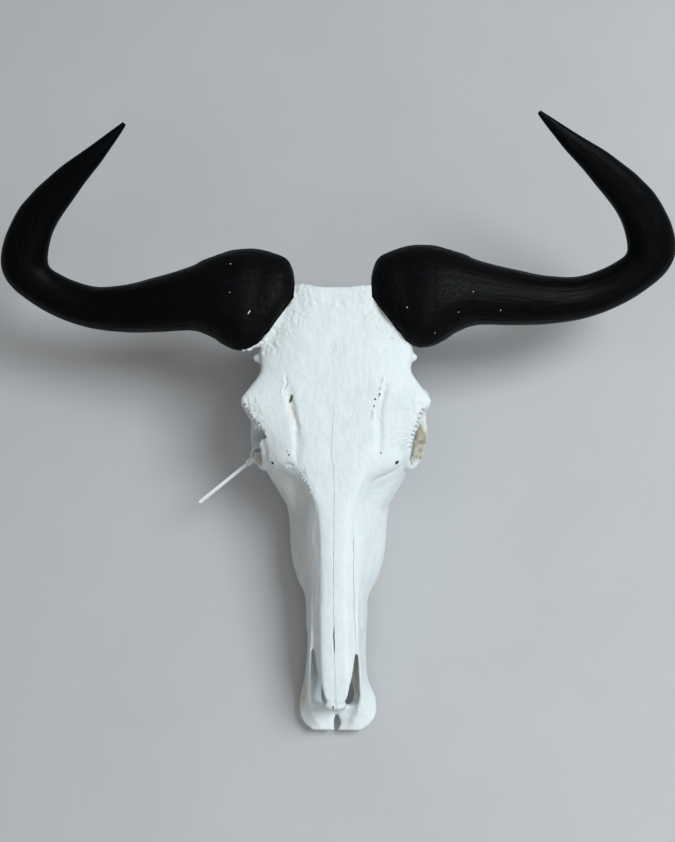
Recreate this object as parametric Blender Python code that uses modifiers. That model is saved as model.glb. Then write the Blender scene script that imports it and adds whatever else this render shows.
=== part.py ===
"""Wildebeest skull with its horns, life size, lying on its cheek teeth.

Run with: blender --background --python part.py

The skull is drawn in millimetres with the nose towards -Y and the floor at z = 0, so the
animal's left is at +X.
The bones are modelled as one body out of lofts and sweeps, which is then parted into
the single bones with thin cuts. The horns, the nasal bones, the teeth and the cable tie
are modelled on their own.
"""

import math

import bmesh
import bpy
from mathutils import Matrix, Vector

MM = 0.001

# Driving dimensions, in millimetres
SLOPE = math.radians(14.0)        # rise of the forehead line from the nose to the poll
NOSE_TOP = 66.0                   # height of that line above the floor at the front edge
POLL = 435.0                      # length along the line from the front edge to the poll
NASAL_TIP = 22.0                  # where the nasal bones begin, from the front edge
NASAL_END = 242.0                 # where they meet the forehead
NASAL_THICK = 4.6                 # thickness of a nasal bone
NASAL_TIP_THICK = 3.4             # and near its tip
NASAL_TIP_LENGTH = 40.0           # up to here from the front edge
NASAL_RIM = 2.6                   # height of its outer edge
NASAL_FLAT_FROM = 200.0           # from here back the nasal bones flatten into the forehead
NASAL_FLAT_SHARE = 0.1            # share of their crown that is left at their back end
NASAL_SWAY = 3.0                  # their tips lie this far to the left of the middle
NASAL_SWAY_FROM = 110.0           # and start to lean here
TOOTH_START = 150.0               # front of the cheek tooth row
TOOTH_LENGTHS = (10.0, 12.5, 13.5, 20.0, 24.0, 24.0)
TOOTH_WIDTHS = (10.0, 12.0, 14.0, 17.0, 18.0, 17.0)
GUM_HEIGHT = 14.0                 # height of the tooth sockets above the floor
# height of a tooth's cross-sections and their share of its full size, root to crown
TOOTH_PROFILE = ((GUM_HEIGHT + 8.0, 0.86), (GUM_HEIGHT - 2.0, 0.94), (3.0, 1.0), (0.0, 0.9))
TOOTH_ROW_FRONT_X = 33.0          # middle of the tooth row at its front
TOOTH_ROW_BACK_X = 37.5           # and at its back
GAP = 0.3                         # clear gap between touching pieces
BED_LIFT = 8.0                    # the bed of a nasal bone is cut this much higher than the bone
VOXEL = 2.4                       # fineness of the blended bone body
BODY_TRIANGLES = 6600             # triangles left in the bone body before it is parted
RIGHT_REACH = 6.0                 # the right horn reaches this much wider than the left one
RIGHT_DROOP = 0.034               # and lies this much further forward, per millimetre outwards

# half width of the nasal bones at y
NASAL_WIDTHS = ((NASAL_TIP, 10.0), (30.0, 12.0), (44.0, 15.5), (56.0, 18.6), (72.0, 21.0), (90.0, 21.0),
                (110.0, 20.2), (140.0, 19.0), (165.0, 19.2), (200.0, 18.5), (222.0, 16.5), (NASAL_END, 8.0))
NASAL_ROWS = (NASAL_TIP, 26.0, 32.0, 42.0, 56.0, 76.0, 100.0, 130.0, 160.0, 190.0, 215.0, 230.0,
              NASAL_END)
NASAL_CORNER = 12.0               # their flat top reaches this far from the middle
NASAL_SIDE = 1.6                  # fall of their sides beyond it, per millimetre
# shares of the half width at which their outer and inner faces are drawn
NASAL_OUTSIDE = (0.35, 0.6, 0.72, 0.86, 1.0)
NASAL_INSIDE = (0.82, 0.6, 0.3)

BONE = (0.80, 0.83, 0.80, 1.0)
HORN = (0.02, 0.022, 0.026, 1.0)
NYLON = (0.86, 0.87, 0.88, 1.0)

ALONG = Vector((0.0, math.cos(SLOPE), math.sin(SLOPE)))
ABOVE = Vector((0.0, -math.sin(SLOPE), math.cos(SLOPE)))
NOSE = Vector((0.0, 0.0, NOSE_TOP))


def top_line(y):
    """Height of the forehead line at y."""
    return NOSE_TOP + math.tan(SLOPE) * y


def on_line(x, s, w):
    """The point s along the forehead line, x to the side and w above it."""
    return NOSE + ALONG * s + ABOVE * w + Vector((x, 0.0, 0.0))


def clear_scene():
    """Start from an empty file."""
    for item in list(bpy.data.objects):
        bpy.data.objects.remove(item, do_unlink=True)


def new_collection(name):
    """A collection linked to the scene."""
    collection = bpy.data.collections.new(name)
    bpy.context.scene.collection.children.link(collection)
    return collection


def new_object(name, mesh, collection):
    """An object for a mesh, linked to a collection."""
    item = bpy.data.objects.new(name, mesh)
    collection.objects.link(item)
    return item


def from_bmesh(name, bm, collection):
    """An object out of a bmesh, with its faces pointing out."""
    bmesh.ops.recalc_face_normals(bm, faces=bm.faces)
    mesh = bpy.data.meshes.new(name)
    bm.to_mesh(mesh)
    bm.free()
    return new_object(name, mesh, collection)


def spline(points, count, closed=False):
    """Points spread evenly along a smooth curve through the given points."""
    points = [Vector(p) for p in points]
    total = len(points)
    spans = total if closed else total - 1
    fine = []
    for k in range(spans):
        if closed:
            a, b, c, d = (points[(k + j - 1) % total] for j in range(4))
        else:
            a, b, c, d = (points[min(max(k + j - 1, 0), total - 1)] for j in range(4))
        for step in range(12):
            t = step / 12
            fine.append(0.5 * (2 * b + (c - a) * t + (2 * a - 5 * b + 4 * c - d) * t * t
                               + (3 * b - a - 3 * c + d) * t ** 3))
    fine.append(points[0] if closed else points[-1])
    lengths = [0.0]
    for one, two in zip(fine, fine[1:]):
        lengths.append(lengths[-1] + (two - one).length)
    result = []
    steps = count if closed else count - 1
    place = 0
    for k in range(count):
        goal = lengths[-1] * k / steps
        while place < len(lengths) - 2 and lengths[place + 1] < goal:
            place += 1
        span = lengths[place + 1] - lengths[place]
        share = (goal - lengths[place]) / span if span > 1e-9 else 0.0
        result.append(fine[place].lerp(fine[place + 1], min(max(share, 0.0), 1.0)))
    return result


def smooth_rows(rows, per_span):
    """More rows of numbers between the given ones, along a smooth curve."""
    total = len(rows)
    result = []
    for k in range(total - 1):
        a, b, c, d = (rows[min(max(k + j - 1, 0), total - 1)] for j in range(4))
        for step in range(per_span):
            t = step / per_span
            result.append(tuple(
                0.5 * (2 * q + (r - p) * t + (2 * p - 5 * q + 4 * r - u) * t * t
                       + (3 * q - p - 3 * r + u) * t ** 3) for p, q, r, u in zip(a, b, c, d)))
    result.append(tuple(rows[-1]))
    return result


def loft(name, rings, collection, closed=False):
    """A closed skin over rings of equal counts, capped at both ends unless closed."""
    bm = bmesh.new()
    rows = [[bm.verts.new(p) for p in ring] for ring in rings]
    count = len(rows[0])
    spans = len(rows) if closed else len(rows) - 1
    for k in range(spans):
        one, two = rows[k], rows[(k + 1) % len(rows)]
        for j in range(count):
            bm.faces.new((one[j], one[(j + 1) % count], two[(j + 1) % count], two[j]))
    if not closed:
        bm.faces.new(list(reversed(rows[0])))
        bm.faces.new(rows[-1])
    bmesh.ops.triangulate(bm, faces=bm.faces)
    return from_bmesh(name, bm, collection)


def oval(centre, first, second, half_first, half_second, sides, square=2.0):
    """A ring round a centre; square over 2 flattens its sides."""
    ring = []
    for k in range(sides):
        turn = 2 * math.pi * k / sides
        c, s = math.cos(turn), math.sin(turn)
        a = math.copysign(abs(c) ** (2 / square), c) * half_first
        b = math.copysign(abs(s) ** (2 / square), s) * half_second
        ring.append(Vector(centre) + first * a + second * b)
    return ring


def sweep(name, stations, collection, sides=14, count=16, up=Vector((0, 0, 1)), closed=False):
    """A tube through stations of x, y, z, half width and half height."""
    path = spline([s[:3] for s in stations], count, closed)
    sizes = spline([(s[3], s[4], 0.0) for s in stations], count, closed)
    rings = []
    for k, point in enumerate(path):
        if closed:
            ahead, behind = path[(k + 1) % count], path[k - 1]
        else:
            ahead, behind = path[min(k + 1, count - 1)], path[max(k - 1, 0)]
        run = (ahead - behind).normalized()
        side = run.cross(up).normalized()
        top = side.cross(run).normalized()
        rings.append(oval(point, side, top, sizes[k].x, sizes[k].y, sides))
    return loft(name, rings, collection, closed)


def ball(name, centre, radii, collection, turn=0.0):
    """An ellipsoid, turned about X."""
    bm = bmesh.new()
    bmesh.ops.create_uvsphere(bm, u_segments=20, v_segments=12, radius=1.0)
    shape = Matrix.Rotation(turn, 4, "X") @ Matrix.Diagonal((*radii, 1.0))
    bmesh.ops.transform(bm, matrix=Matrix.Translation(centre) @ shape, verts=bm.verts)
    return from_bmesh(name, bm, collection)


def hull(name, points, collection):
    """The convex block round some corner points."""
    bm = bmesh.new()
    for point in points:
        bm.verts.new(point)
    result = bmesh.ops.convex_hull(bm, input=bm.verts)
    loose = [e for e in result["geom_interior"] if isinstance(e, bmesh.types.BMVert)]
    bmesh.ops.delete(bm, geom=list(set(loose)), context="VERTS")
    return from_bmesh(name, bm, collection)


def both_sides(make, name, points, *rest, **named):
    """The same piece on the left and, mirrored, on the right."""
    flipped = [(-p[0], *p[1:]) for p in points]
    return [make(name + "_left", points, *rest, **named),
            make(name + "_right", flipped, *rest, **named)]


def evaluated_mesh(item):
    """The mesh of an object with its modifiers."""
    graph = bpy.context.evaluated_depsgraph_get()
    return bpy.data.meshes.new_from_object(item.evaluated_get(graph))


def apply_modifiers(item):
    """Fix the modifiers of an object in its mesh."""
    mesh = evaluated_mesh(item)
    old = item.data
    item.modifiers.clear()
    item.data = mesh
    bpy.data.meshes.remove(old)


def boolean(item, other, operation):
    """Cut, join or keep the common part of two closed objects."""
    modifier = item.modifiers.new(operation.lower(), "BOOLEAN")
    modifier.operation = operation
    modifier.object = other
    modifier.solver = "MANIFOLD"
    apply_modifiers(item)


def duplicate(item, name, collection):
    """A copy of an object with its own mesh."""
    return new_object(name, item.data.copy(), collection)


def grow(item, distance):
    """Move the skin of an object outwards by an even distance."""
    bm = bmesh.new()
    bm.from_mesh(item.data)
    bm.normal_update()
    moves = [v.normal * distance * min(v.calc_shell_factor(), 3.0) for v in bm.verts]
    for vert, move in zip(bm.verts, moves):
        vert.co += move
    bm.to_mesh(item.data)
    bm.free()


def keep_largest(item):
    """Drop every loose scrap but the largest closed surface."""
    bm = bmesh.new()
    bm.from_mesh(item.data)
    left = set(bm.faces)
    groups = []
    while left:
        stack = [left.pop()]
        group = []
        while stack:
            face = stack.pop()
            group.append(face)
            for edge in face.edges:
                for other in edge.link_faces:
                    if other in left:
                        left.remove(other)
                        stack.append(other)
        groups.append(group)
    groups.sort(key=lambda g: sum(f.calc_area() for f in g))
    scraps = [face for group in groups[:-1] for face in group]
    bmesh.ops.delete(bm, geom=scraps, context="FACES")
    bm.to_mesh(item.data)
    bm.free()


def tidy(item):
    """Clean the seams that cuts leave and make triangles of all faces."""
    bm = bmesh.new()
    bm.from_mesh(item.data)
    bmesh.ops.remove_doubles(bm, verts=bm.verts, dist=0.02)
    bmesh.ops.dissolve_degenerate(bm, edges=bm.edges, dist=0.02)
    bmesh.ops.triangulate(bm, faces=bm.faces)
    bm.to_mesh(item.data)
    bm.free()


def material(name, colour, roughness):
    """A Principled surface."""
    result = bpy.data.materials.new(name)
    result.use_nodes = True
    shader = result.node_tree.nodes["Principled BSDF"]
    shader.inputs["Base Color"].default_value = colour
    shader.inputs["Roughness"].default_value = roughness
    shader.inputs["Metallic"].default_value = 0.0
    result.diffuse_color = colour
    return result


def half_ring(half, y, count=40):
    """A closed cross-section at y from points of one half, top to bottom."""
    right = [Vector((x, y, z)) for x, z in half]
    left = [Vector((-x, y, z)) for x, z in reversed(half[1:-1])]
    return spline(right + left, count, closed=True)


def face_ring(y, corner, brow_x, brow_z, cheek_x, cheek_z, gum_x, gum_z, inner, palate):
    """Cross-section of the face: flat top, brow, cheek, tooth socket and palate."""
    top = top_line(y)
    return half_ring([(0.0, top), (corner * 0.6, top - 0.4), (corner, top - 1.4),
                      (corner + 3.0, top - 5.0), (brow_x, brow_z),
                      (cheek_x, cheek_z), (gum_x, gum_z + 5.0), (gum_x - 2.5, gum_z),
                      (inner + 2.0, gum_z), (inner, gum_z + 3.0), (inner - 8.0, palate),
                      (0.0, palate + 1.0)], y)


# y, corner of the flat top, brow x and z, cheek x and z, socket x and z, its inner side, palate height
FACE = (
    (98.0, 12.0, 23.5, 71.0, 30.0, 44.0, 28.0, 21.0, 17.0, 22.0),
    (132.0, 12.0, 25.5, 77.0, 32.5, 42.0, 30.0, 20.0, 18.0, 22.0),
    (150.0, 12.0, 27.5, 81.0, 40.0, 43.0, 38.0, 15.0, 24.0, 22.0),
    (170.0, 12.5, 29.5, 85.0, 46.5, 42.0, 43.0, 13.0, 26.0, 21.0),
    (190.0, 13.5, 31.0, 89.0, 49.5, 40.0, 46.0, 13.0, 27.0, 21.0),
    (215.0, 18.5, 30.0, 98.0, 51.0, 45.0, 47.0, 13.0, 28.0, 21.0),
    (240.0, 29.0, 40.0, 104.0, 56.0, 60.0, 49.0, 13.0, 29.0, 21.0),
    (258.0, 30.0, 52.0, 106.0, 59.0, 70.0, 48.0, 15.0, 28.0, 24.0),
    (268.0, 24.0, 44.0, 104.0, 48.0, 72.0, 40.0, 30.0, 22.0, 34.0),
)

# y, half width of the airway, its height range
AIRWAY = (
    (88.0, 17.5, 27.0, 80.0),
    (104.0, 18.5, 27.0, 82.0),
    (120.0, 19.5, 27.0, 82.0),
    (150.0, 19.0, 30.0, 80.0),
    (172.0, 12.0, 38.0, 76.0),
    (180.0, 4.0, 50.0, 66.0),
)

# y, inner edge of the right and of the left bone, outer edge, ridge x, ridge z, lower z, wall thickness
PREMAXILLA = (
    (0.8, 0.4, 0.8, 23.5, 11.0, 17.0, 11.0, 3.0),
    (7.0, 1.5, 4.4, 31.0, 17.0, 21.0, 10.5, 4.5),
    (13.0, 1.0, 3.2, 35.2, 20.5, 24.5, 10.8, 5.0),
    (19.0, 0.4, 0.6, 36.8, 23.0, 28.5, 11.3, 5.0),
    (22.5, 0.4, 0.4, 37.1, 24.0, 30.5, 11.7, 5.0),
    (25.0, 1.2, 1.6, 37.3, 24.5, 32.0, 12.0, 5.0),
    (27.0, 11.0, 13.5, 37.3, 24.8, 33.2, 12.4, 5.0),
    (33.0, 14.5, 17.5, 36.9, 25.6, 37.6, 13.6, 5.0),
    (44.0, 14.5, 17.5, 34.8, 25.0, 46.5, 15.5, 5.0),
    (56.0, 13.0, 14.5, 32.0, 24.8, 57.0, 17.5, 5.0),
    (70.0, 13.0, 13.0, 30.8, 23.8, 67.0, 19.0, 5.0),
    (80.0, 13.0, 13.0, 30.3, 22.8, 70.5, 20.0, 5.5),
    (94.0, 13.0, 13.0, 30.5, 22.8, 73.5, 20.5, 6.0),
    (126.0, 13.0, 13.0, 32.0, 23.5, 79.0, 21.0, 6.0),
)
FRONT_SLOPE = (45.0, 70.0)        # their inner side slopes gently up to here and is steep from there on
# rough bone that rises from the front bones to the tips of the nasal bones: x, y, z and half sizes
BRIDGE = ((1.0, 24.5, 16.0, 7.5, 4.0), (1.4, 27.0, 42.0, 6.5, 4.0), (1.8, 29.0, 62.0, 6.0, 4.0))
# the rod beside the middle slit that runs back from the front plate
PALATE_ROD = ((6.5, 14.0, 14.5, 2.6, 1.8), (5.0, 30.0, 16.0, 2.4, 1.8), (4.5, 55.0, 18.0, 2.2, 1.8),
              (4.5, 82.0, 20.5, 2.0, 1.8))
LEFT_FLARE = 0.10                 # the left front plate is wider than the right one by this share
LEFT_FLARE_ENDS = 50.0            # up to here from the front edge
LEFT_FLARE_FADE = 15.0            # over which length it narrows again

# y, half width, drop of the rim, thickness in the middle and at the rim
SHIELD = (
    (226.0, 22.0, 8.0, 14.0, 6.0),
    (238.0, 38.0, 12.0, 16.0, 6.0),
    (254.0, 66.0, 17.0, 18.0, 7.0),
    (268.0, 69.0, 14.0, 18.0, 7.0),
    (284.0, 76.0, 11.0, 18.0, 8.0),
    (300.0, 86.0, 9.5, 18.0, 9.0),
    (314.0, 95.5, 9.0, 18.0, 10.0),
    (328.0, 86.0, 9.5, 18.0, 12.0),
    (344.0, 76.0, 11.0, 20.0, 16.0),
    (362.0, 77.0, 14.0, 24.0, 20.0),
    (382.0, 76.0, 15.0, 26.0, 22.0),
    (404.0, 66.0, 11.0, 26.0, 23.0),
    (422.0, 48.0, 6.0, 24.0, 22.0),
)

# distance along the forehead line, half width, depth of top and bottom under it
BRAINCASE = (
    (243.0, 40.0, 8.0, 82.0),
    (268.0, 33.0, 6.0, 84.0),
    (295.0, 28.0, 6.0, 86.0),
    (320.0, 31.0, 6.0, 90.0),
    (345.0, 40.0, 6.0, 96.0),
    (370.0, 48.0, 6.0, 101.0),
    (395.0, 51.0, 4.0, 105.0),
    (420.0, 50.0, 3.0, 108.0),
    (436.0, 45.0, 6.0, 104.0),
)

# half width of the back of the skull against the depth under the poll, and its cross-sections:
# distance past the poll and size
NUCHAL = ((37.0, 1.0), (46.0, 14.0), (54.0, 34.0), (62.0, 58.0), (61.0, 76.0),
          (50.0, 92.0), (36.0, 106.0), (18.0, 112.0), (0.0, 113.0))
NUCHAL_SECTIONS = ((-15.0, 0.96), (-4.0, 1.0), (1.0, 0.93))

# rim of the left eye socket: x, y, z, half width and half height of the bony bar
ORBIT = (
    (90.5, 314.0, 122.0, 6.0, 5.0),
    (81.0, 296.0, 119.5, 5.5, 4.5),
    (73.0, 277.0, 113.5, 5.5, 4.5),
    (70.0, 262.0, 99.5, 5.5, 5.5),
    (75.0, 260.0, 85.0, 6.0, 6.0),
    (82.0, 274.0, 70.0, 4.2, 6.0),
    (86.0, 296.0, 63.0, 4.0, 7.5),
    (86.0, 318.0, 67.0, 4.0, 8.0),
    (87.0, 333.0, 86.0, 5.0, 5.5),
    (89.0, 331.0, 108.0, 5.5, 5.0),
)

ARCH = ((86.0, 310.0, 67.0, 3.6, 8.0), (83.0, 330.0, 70.0, 3.8, 8.5),
        (73.0, 350.0, 74.0, 3.8, 8.0), (68.0, 368.0, 77.0, 4.4, 7.5),
        (71.0, 382.0, 79.0, 6.0, 7.5), (66.0, 392.0, 75.0, 9.0, 7.5),
        (46.0, 394.0, 72.0, 15.0, 9.0))
LEFT_WAIST = 3.5                  # the left arch is this much narrower behind the eye socket
WAIST_RANGE = (340.0, 390.0)      # between these distances from the front edge
# the corner of bone in front of the root of each horn, and its radii
KNOBS = {1: ((73.0, 361.5, 132.0), (10.5, 5.5, 6.5)),
         -1: ((-75.5, 361.5, 132.0), (10.5, 6.0, 6.5))}
EAR = ((40.0, 406.0, 72.0, 8.0, 8.0), (52.0, 408.0, 75.0, 8.0, 8.0), (63.0, 411.0, 77.0, 6.5, 6.5))
BULLA = (29.0, 400.0, 40.0)       # the round ear capsule under the skull
BULLA_RADII = (10.0, 15.0, 15.0)
# the joints of the neck: to the side, past the poll, depth under the forehead line
CONDYLE = (23.0, 8.0, 108.0)
CONDYLE_RADII = (14.0, 14.0, 19.0)
OCCIPITAL = (0.0, 2.0, 98.0)
OCCIPITAL_RADII = (33.0, 9.0, 24.0)
CANAL = ((0.0, 395.0, 72.0, 12.0, 12.0), (0.0, 425.0, 70.0, 14.0, 13.0), (0.0, 470.0, 66.0, 15.0, 14.0))

CHEEK = ((44, 212, 40), (42, 214, 66), (37, 238, 99), (52, 260, 118), (68, 264, 112),
         (72, 260, 101), (76, 260, 82), (78, 266, 70), (72, 266, 62), (56, 244, 40),
         (55, 264, 52), (50, 268, 100))

# where the cheek bone lies: the lower rim of the eye socket and the front of the arch
ZYGOMATIC_REGION = (
    (48, 218, 26), (46, 222, 66), (62, 246, 86), (62, 290, 96), (70, 340, 98), (62, 262, 26),
    (70, 356, 60), (70, 344, 90), (140, 218, 26), (140, 222, 66), (140, 246, 86), (140, 290, 96),
    (140, 340, 98), (140, 262, 26), (140, 356, 60), (140, 344, 90), (60, 300, 26), (140, 300, 26))
# where the tear bone lies: between the forehead, the snout and the eye socket
LACRIMAL_REGION = (
    (30, 226, 90), (48, 226, 80), (52, 284, 84), (50, 268, 90), (34, 226, 150), (56, 264, 150),
    (74, 284, 150), (74, 284, 84), (120, 226, 70), (120, 284, 84), (120, 284, 150), (120, 226, 150))
# where the front bones and the snout bones lie: y range, z range and how far the top slants back
PREMAXILLA_BLOCK = (-20.0, 68.0, -5.0, 110.0, 52.0)
MAXILLA_BLOCK = (20.0, 266.0, -20.0, 160.0, -32.0)

PTERYGOID = ((17.0, 254.0, 40.0, 2.6, 22.0), (18.5, 274.0, 44.0, 2.4, 20.0),
             (19.5, 296.0, 50.0, 2.3, 17.0), (19.0, 318.0, 57.0, 2.3, 12.0))

BASE = ((0.0, 300.0, 64.0, 9.0, 9.0), (0.0, 340.0, 58.0, 12.0, 10.0),
        (0.0, 380.0, 54.0, 16.0, 11.0), (0.0, 420.0, 54.0, 20.0, 12.0),
        (0.0, 442.0, 58.0, 22.0, 12.0))

PAROCCIPITAL = ((44.0, 438.0, 66.0, 9.0, 12.0), (45.0, 437.0, 44.0, 6.0, 11.0),
                (44.0, 433.0, 22.0, 4.0, 9.0), (42.0, 429.0, 6.0, 3.4, 6.5),
                (41.5, 428.0, 0.0, 3.2, 5.0))

# horn centre line: x, length along the forehead line, height over it, half breadth and half depth
# across it, and the turn of the breadth in degrees
HORN_STATIONS = (
    (49.0, 410.0, -10.0, 23.0, 15.0, 37.0),
    (55.0, 424.0, -13.5, 43.0, 23.0, 20.0),
    (68.0, 427.0, -16.0, 50.5, 28.5, 12.0),
    (87.0, 429.0, -17.0, 53.5, 32.0, 3.0),
    (106.0, 430.5, -18.5, 50.0, 33.0, -1.0),
    (124.0, 433.5, -21.5, 41.5, 31.0, -2.0),
    (146.0, 434.0, -26.5, 33.5, 28.5, -1.0),
    (183.0, 431.0, -36.0, 29.0, 26.5, 0.0),
    (221.0, 430.0, -46.0, 25.0, 24.0, 0.0),
    (260.0, 435.0, -52.0, 22.2, 22.0, 9.0),
    (302.0, 453.5, -48.0, 21.6, 21.0, 46.0),
    (323.5, 477.5, -35.0, 24.6, 20.5, 86.0),
    (307.5, 517.0, -12.0, 21.5, 18.5, 117.0),
    (268.0, 550.5, 14.0, 15.8, 14.5, 129.0),
    (233.0, 572.5, 35.0, 9.8, 9.2, 124.0),
    (203.5, 594.0, 50.0, 3.2, 3.2, 124.0),
    (201.5, 596.2, 51.6, 1.4, 1.4, 124.0),
)
# the core of bone that a horn sits on: its root and its end in the horn, in the same numbers
PEDICLE = ((26.0, 400.0, -25.0, 28.0, 16.0, 28.0), (58.0, 411.0, -19.0, 28.0, 18.0, 28.0))
HORN_SIDES = 16
HORN_SQUARENESS = 2.15            # 2 makes a horn's cross-section a plain oval
HORN_STEPS = 2                    # cross-sections for each station


def horn_ring(side, x, along, height, breadth, depth, turn):
    """One cross-section of a horn or its core, side 1 for the left and -1 for the right."""
    turn = math.radians(turn)
    across = Vector((-math.sin(turn), 0, 0)) + ALONG * math.cos(turn)
    ring = oval(on_line(x, along, height), across, ABOVE, breadth, depth, HORN_SIDES, HORN_SQUARENESS)
    return [place_horn(p, side) for p in ring]


def horn_rings(side):
    """Cross-sections of one horn."""
    return [horn_ring(side, *row) for row in smooth_rows(HORN_STATIONS, HORN_STEPS)]


def place_horn(point, side):
    """Mirror a point to the right, where the horn reaches wider and lower."""
    if side > 0:
        return point
    return Vector((-point.x - RIGHT_REACH, point.y - point.x * RIGHT_DROOP, point.z))


def nasal_half(y):
    """Half width of the nasal bones at y."""
    for (y0, w0), (y1, w1) in zip(NASAL_WIDTHS, NASAL_WIDTHS[1:]):
        if y <= y1:
            return w0 + (w1 - w0) * (y - y0) / (y1 - y0)
    return NASAL_WIDTHS[-1][1]


def nasal_drop(x):
    """How far the outer face of the nasal bones lies under the forehead line at x from the middle."""
    past = max(0.0, x - NASAL_CORNER)
    return 0.8 * (x / NASAL_CORNER) ** 2 + NASAL_SIDE * past * past / (past + 1.5)


def nasal_sway(y):
    """How far to the left the middle between the nasal bones lies at y."""
    share = max(0.0, (NASAL_SWAY_FROM - y) / (NASAL_SWAY_FROM - NASAL_TIP))
    return NASAL_SWAY * share ** 1.5


def nasal_crown(y):
    """Share of the crown's full height at y."""
    share = max(0.0, (y - NASAL_FLAT_FROM) / (NASAL_END - NASAL_FLAT_FROM))
    return 1.0 - (1.0 - NASAL_FLAT_SHARE) * min(share, 1.0)


def nasal_rings(side, extra, lift):
    """Cross-sections of one nasal bone, or of its bed when extra and lift are over 0."""
    rings = []
    inner = GAP / 2 - extra
    for y in NASAL_ROWS:
        if y == NASAL_TIP:
            y -= extra
        if y == NASAL_END:
            y += extra
        half = nasal_half(y) + extra
        top = top_line(y)
        thick = (NASAL_TIP_THICK if y < NASAL_TIP_LENGTH else NASAL_THICK) + extra
        crown = nasal_crown(y)
        over = [(half * share, top - nasal_drop(half * share) * crown + lift) for share in NASAL_OUTSIDE]
        edge = (half, top - nasal_drop(half) * crown - NASAL_RIM - extra)
        under = [(half * share, top - nasal_drop(half * share) * crown - thick) for share in NASAL_INSIDE]
        points = [(inner, top + lift), *over, edge, *under, (inner, top - thick)]
        rings.append([Vector((side * x + nasal_sway(y), y, z)) for x, z in points])
    return rings


def premaxilla_rings(side):
    """Cross-sections of the front wall of one side: flat in front, upright behind."""
    rings = []
    near, far = FRONT_SLOPE
    for y, right, left, outer, ridge_x, ridge_z, low, thick in smooth_rows(PREMAXILLA, 2):
        inner = max(left if side > 0 else right, GAP)
        if side > 0:
            fade = (LEFT_FLARE_ENDS - y) / LEFT_FLARE_FADE
            outer *= 1.0 + LEFT_FLARE * min(max(fade, 0.0), 1.0)
        wall = min((outer + ridge_x) / 2 - thick, ridge_x - 1.5)
        floor = min(max(outer - thick - 4.0, inner + 4.0), wall - 2.0)
        gentle = min(max((far - y) / (far - near), 0.0), 1.0)
        wall += (inner + 0.60 * (ridge_x - inner) - wall) * gentle
        floor += (inner + 0.28 * (ridge_x - inner) - floor) * gentle
        half = [(inner, low + 1.5), (inner + 3.0, low), (outer - 3.0, low), (outer, low + 4.0),
                ((outer + ridge_x) / 2 + 0.3, (low + ridge_z) / 2 + 2.0), (ridge_x + 1.2, ridge_z - 0.5),
                (ridge_x - 1.0, ridge_z - 1.5), (wall, (low + ridge_z) / 2 - 1.0 + 2.0 * gentle),
                (floor, low + thick + 0.5 + 0.15 * gentle * (ridge_z - low - thick)), (inner + 1.0, low + thick)]
        rings.append(spline([Vector((side * x, y, z)) for x, z in half], 20, closed=True))
    return rings


def shield_ring(y, half, drop, middle, rim):
    """Cross-section of the forehead plate, which hangs to its rims."""
    top = top_line(y)
    return half_ring([(0.0, top), (half * 0.45, top - drop * 0.04), (half * 0.78, top - drop * 0.38),
                      (half, top - drop), (half - 2.0, top - drop - rim),
                      (half * 0.74, top - drop * 0.4 - rim * 1.1), (half * 0.4, top - middle),
                      (0.0, top - middle)], y)


def braincase_ring(s, half, top, low):
    """Cross-section of the braincase, square to the forehead line."""
    middle = -(top + low) / 2
    side = Vector((1, 0, 0))
    return oval(on_line(0, s, middle), side, ABOVE, half, (low - top) / 2, 28, 2.6)


def nuchal_ring(s, scale):
    """Outline of the back of the skull."""
    half = [(0.0, 0.0)] + [(x * scale, -w) for x, w in NUCHAL]
    right = [on_line(x, s, w) for x, w in half]
    left = [on_line(-x, s, w) for x, w in reversed(half[1:-1])]
    return spline(right + left, 40, closed=True)


def airway_ring(y, half, low, high):
    """Cross-section of the nasal passage."""
    middle = (low + high) / 2
    return oval((0, y, middle), Vector((1, 0, 0)), Vector((0, 0, 1)), half, (high - low) / 2, 24, 2.6)


def past_poll(name, side, place, radii, collection):
    """A round form on the back of the skull, square to the forehead line."""
    x, past, depth = place
    return ball(name, on_line(side * x, POLL + past, -depth), radii, collection, SLOPE)


def arch_stations(side):
    """The cheek arch of one side, from the eye socket to the braincase."""
    near, far = WAIST_RANGE
    narrower = LEFT_WAIST if side > 0 else 0.0
    return [(side * (x - (narrower if near < y < far else 0.0)), y, *rest) for x, y, *rest in ARCH]


def pedicle(name, side, collection):
    """The core of bone between the forehead and the base of one horn."""
    return loft(name, [horn_ring(side, *row) for row in PEDICLE], collection)


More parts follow.
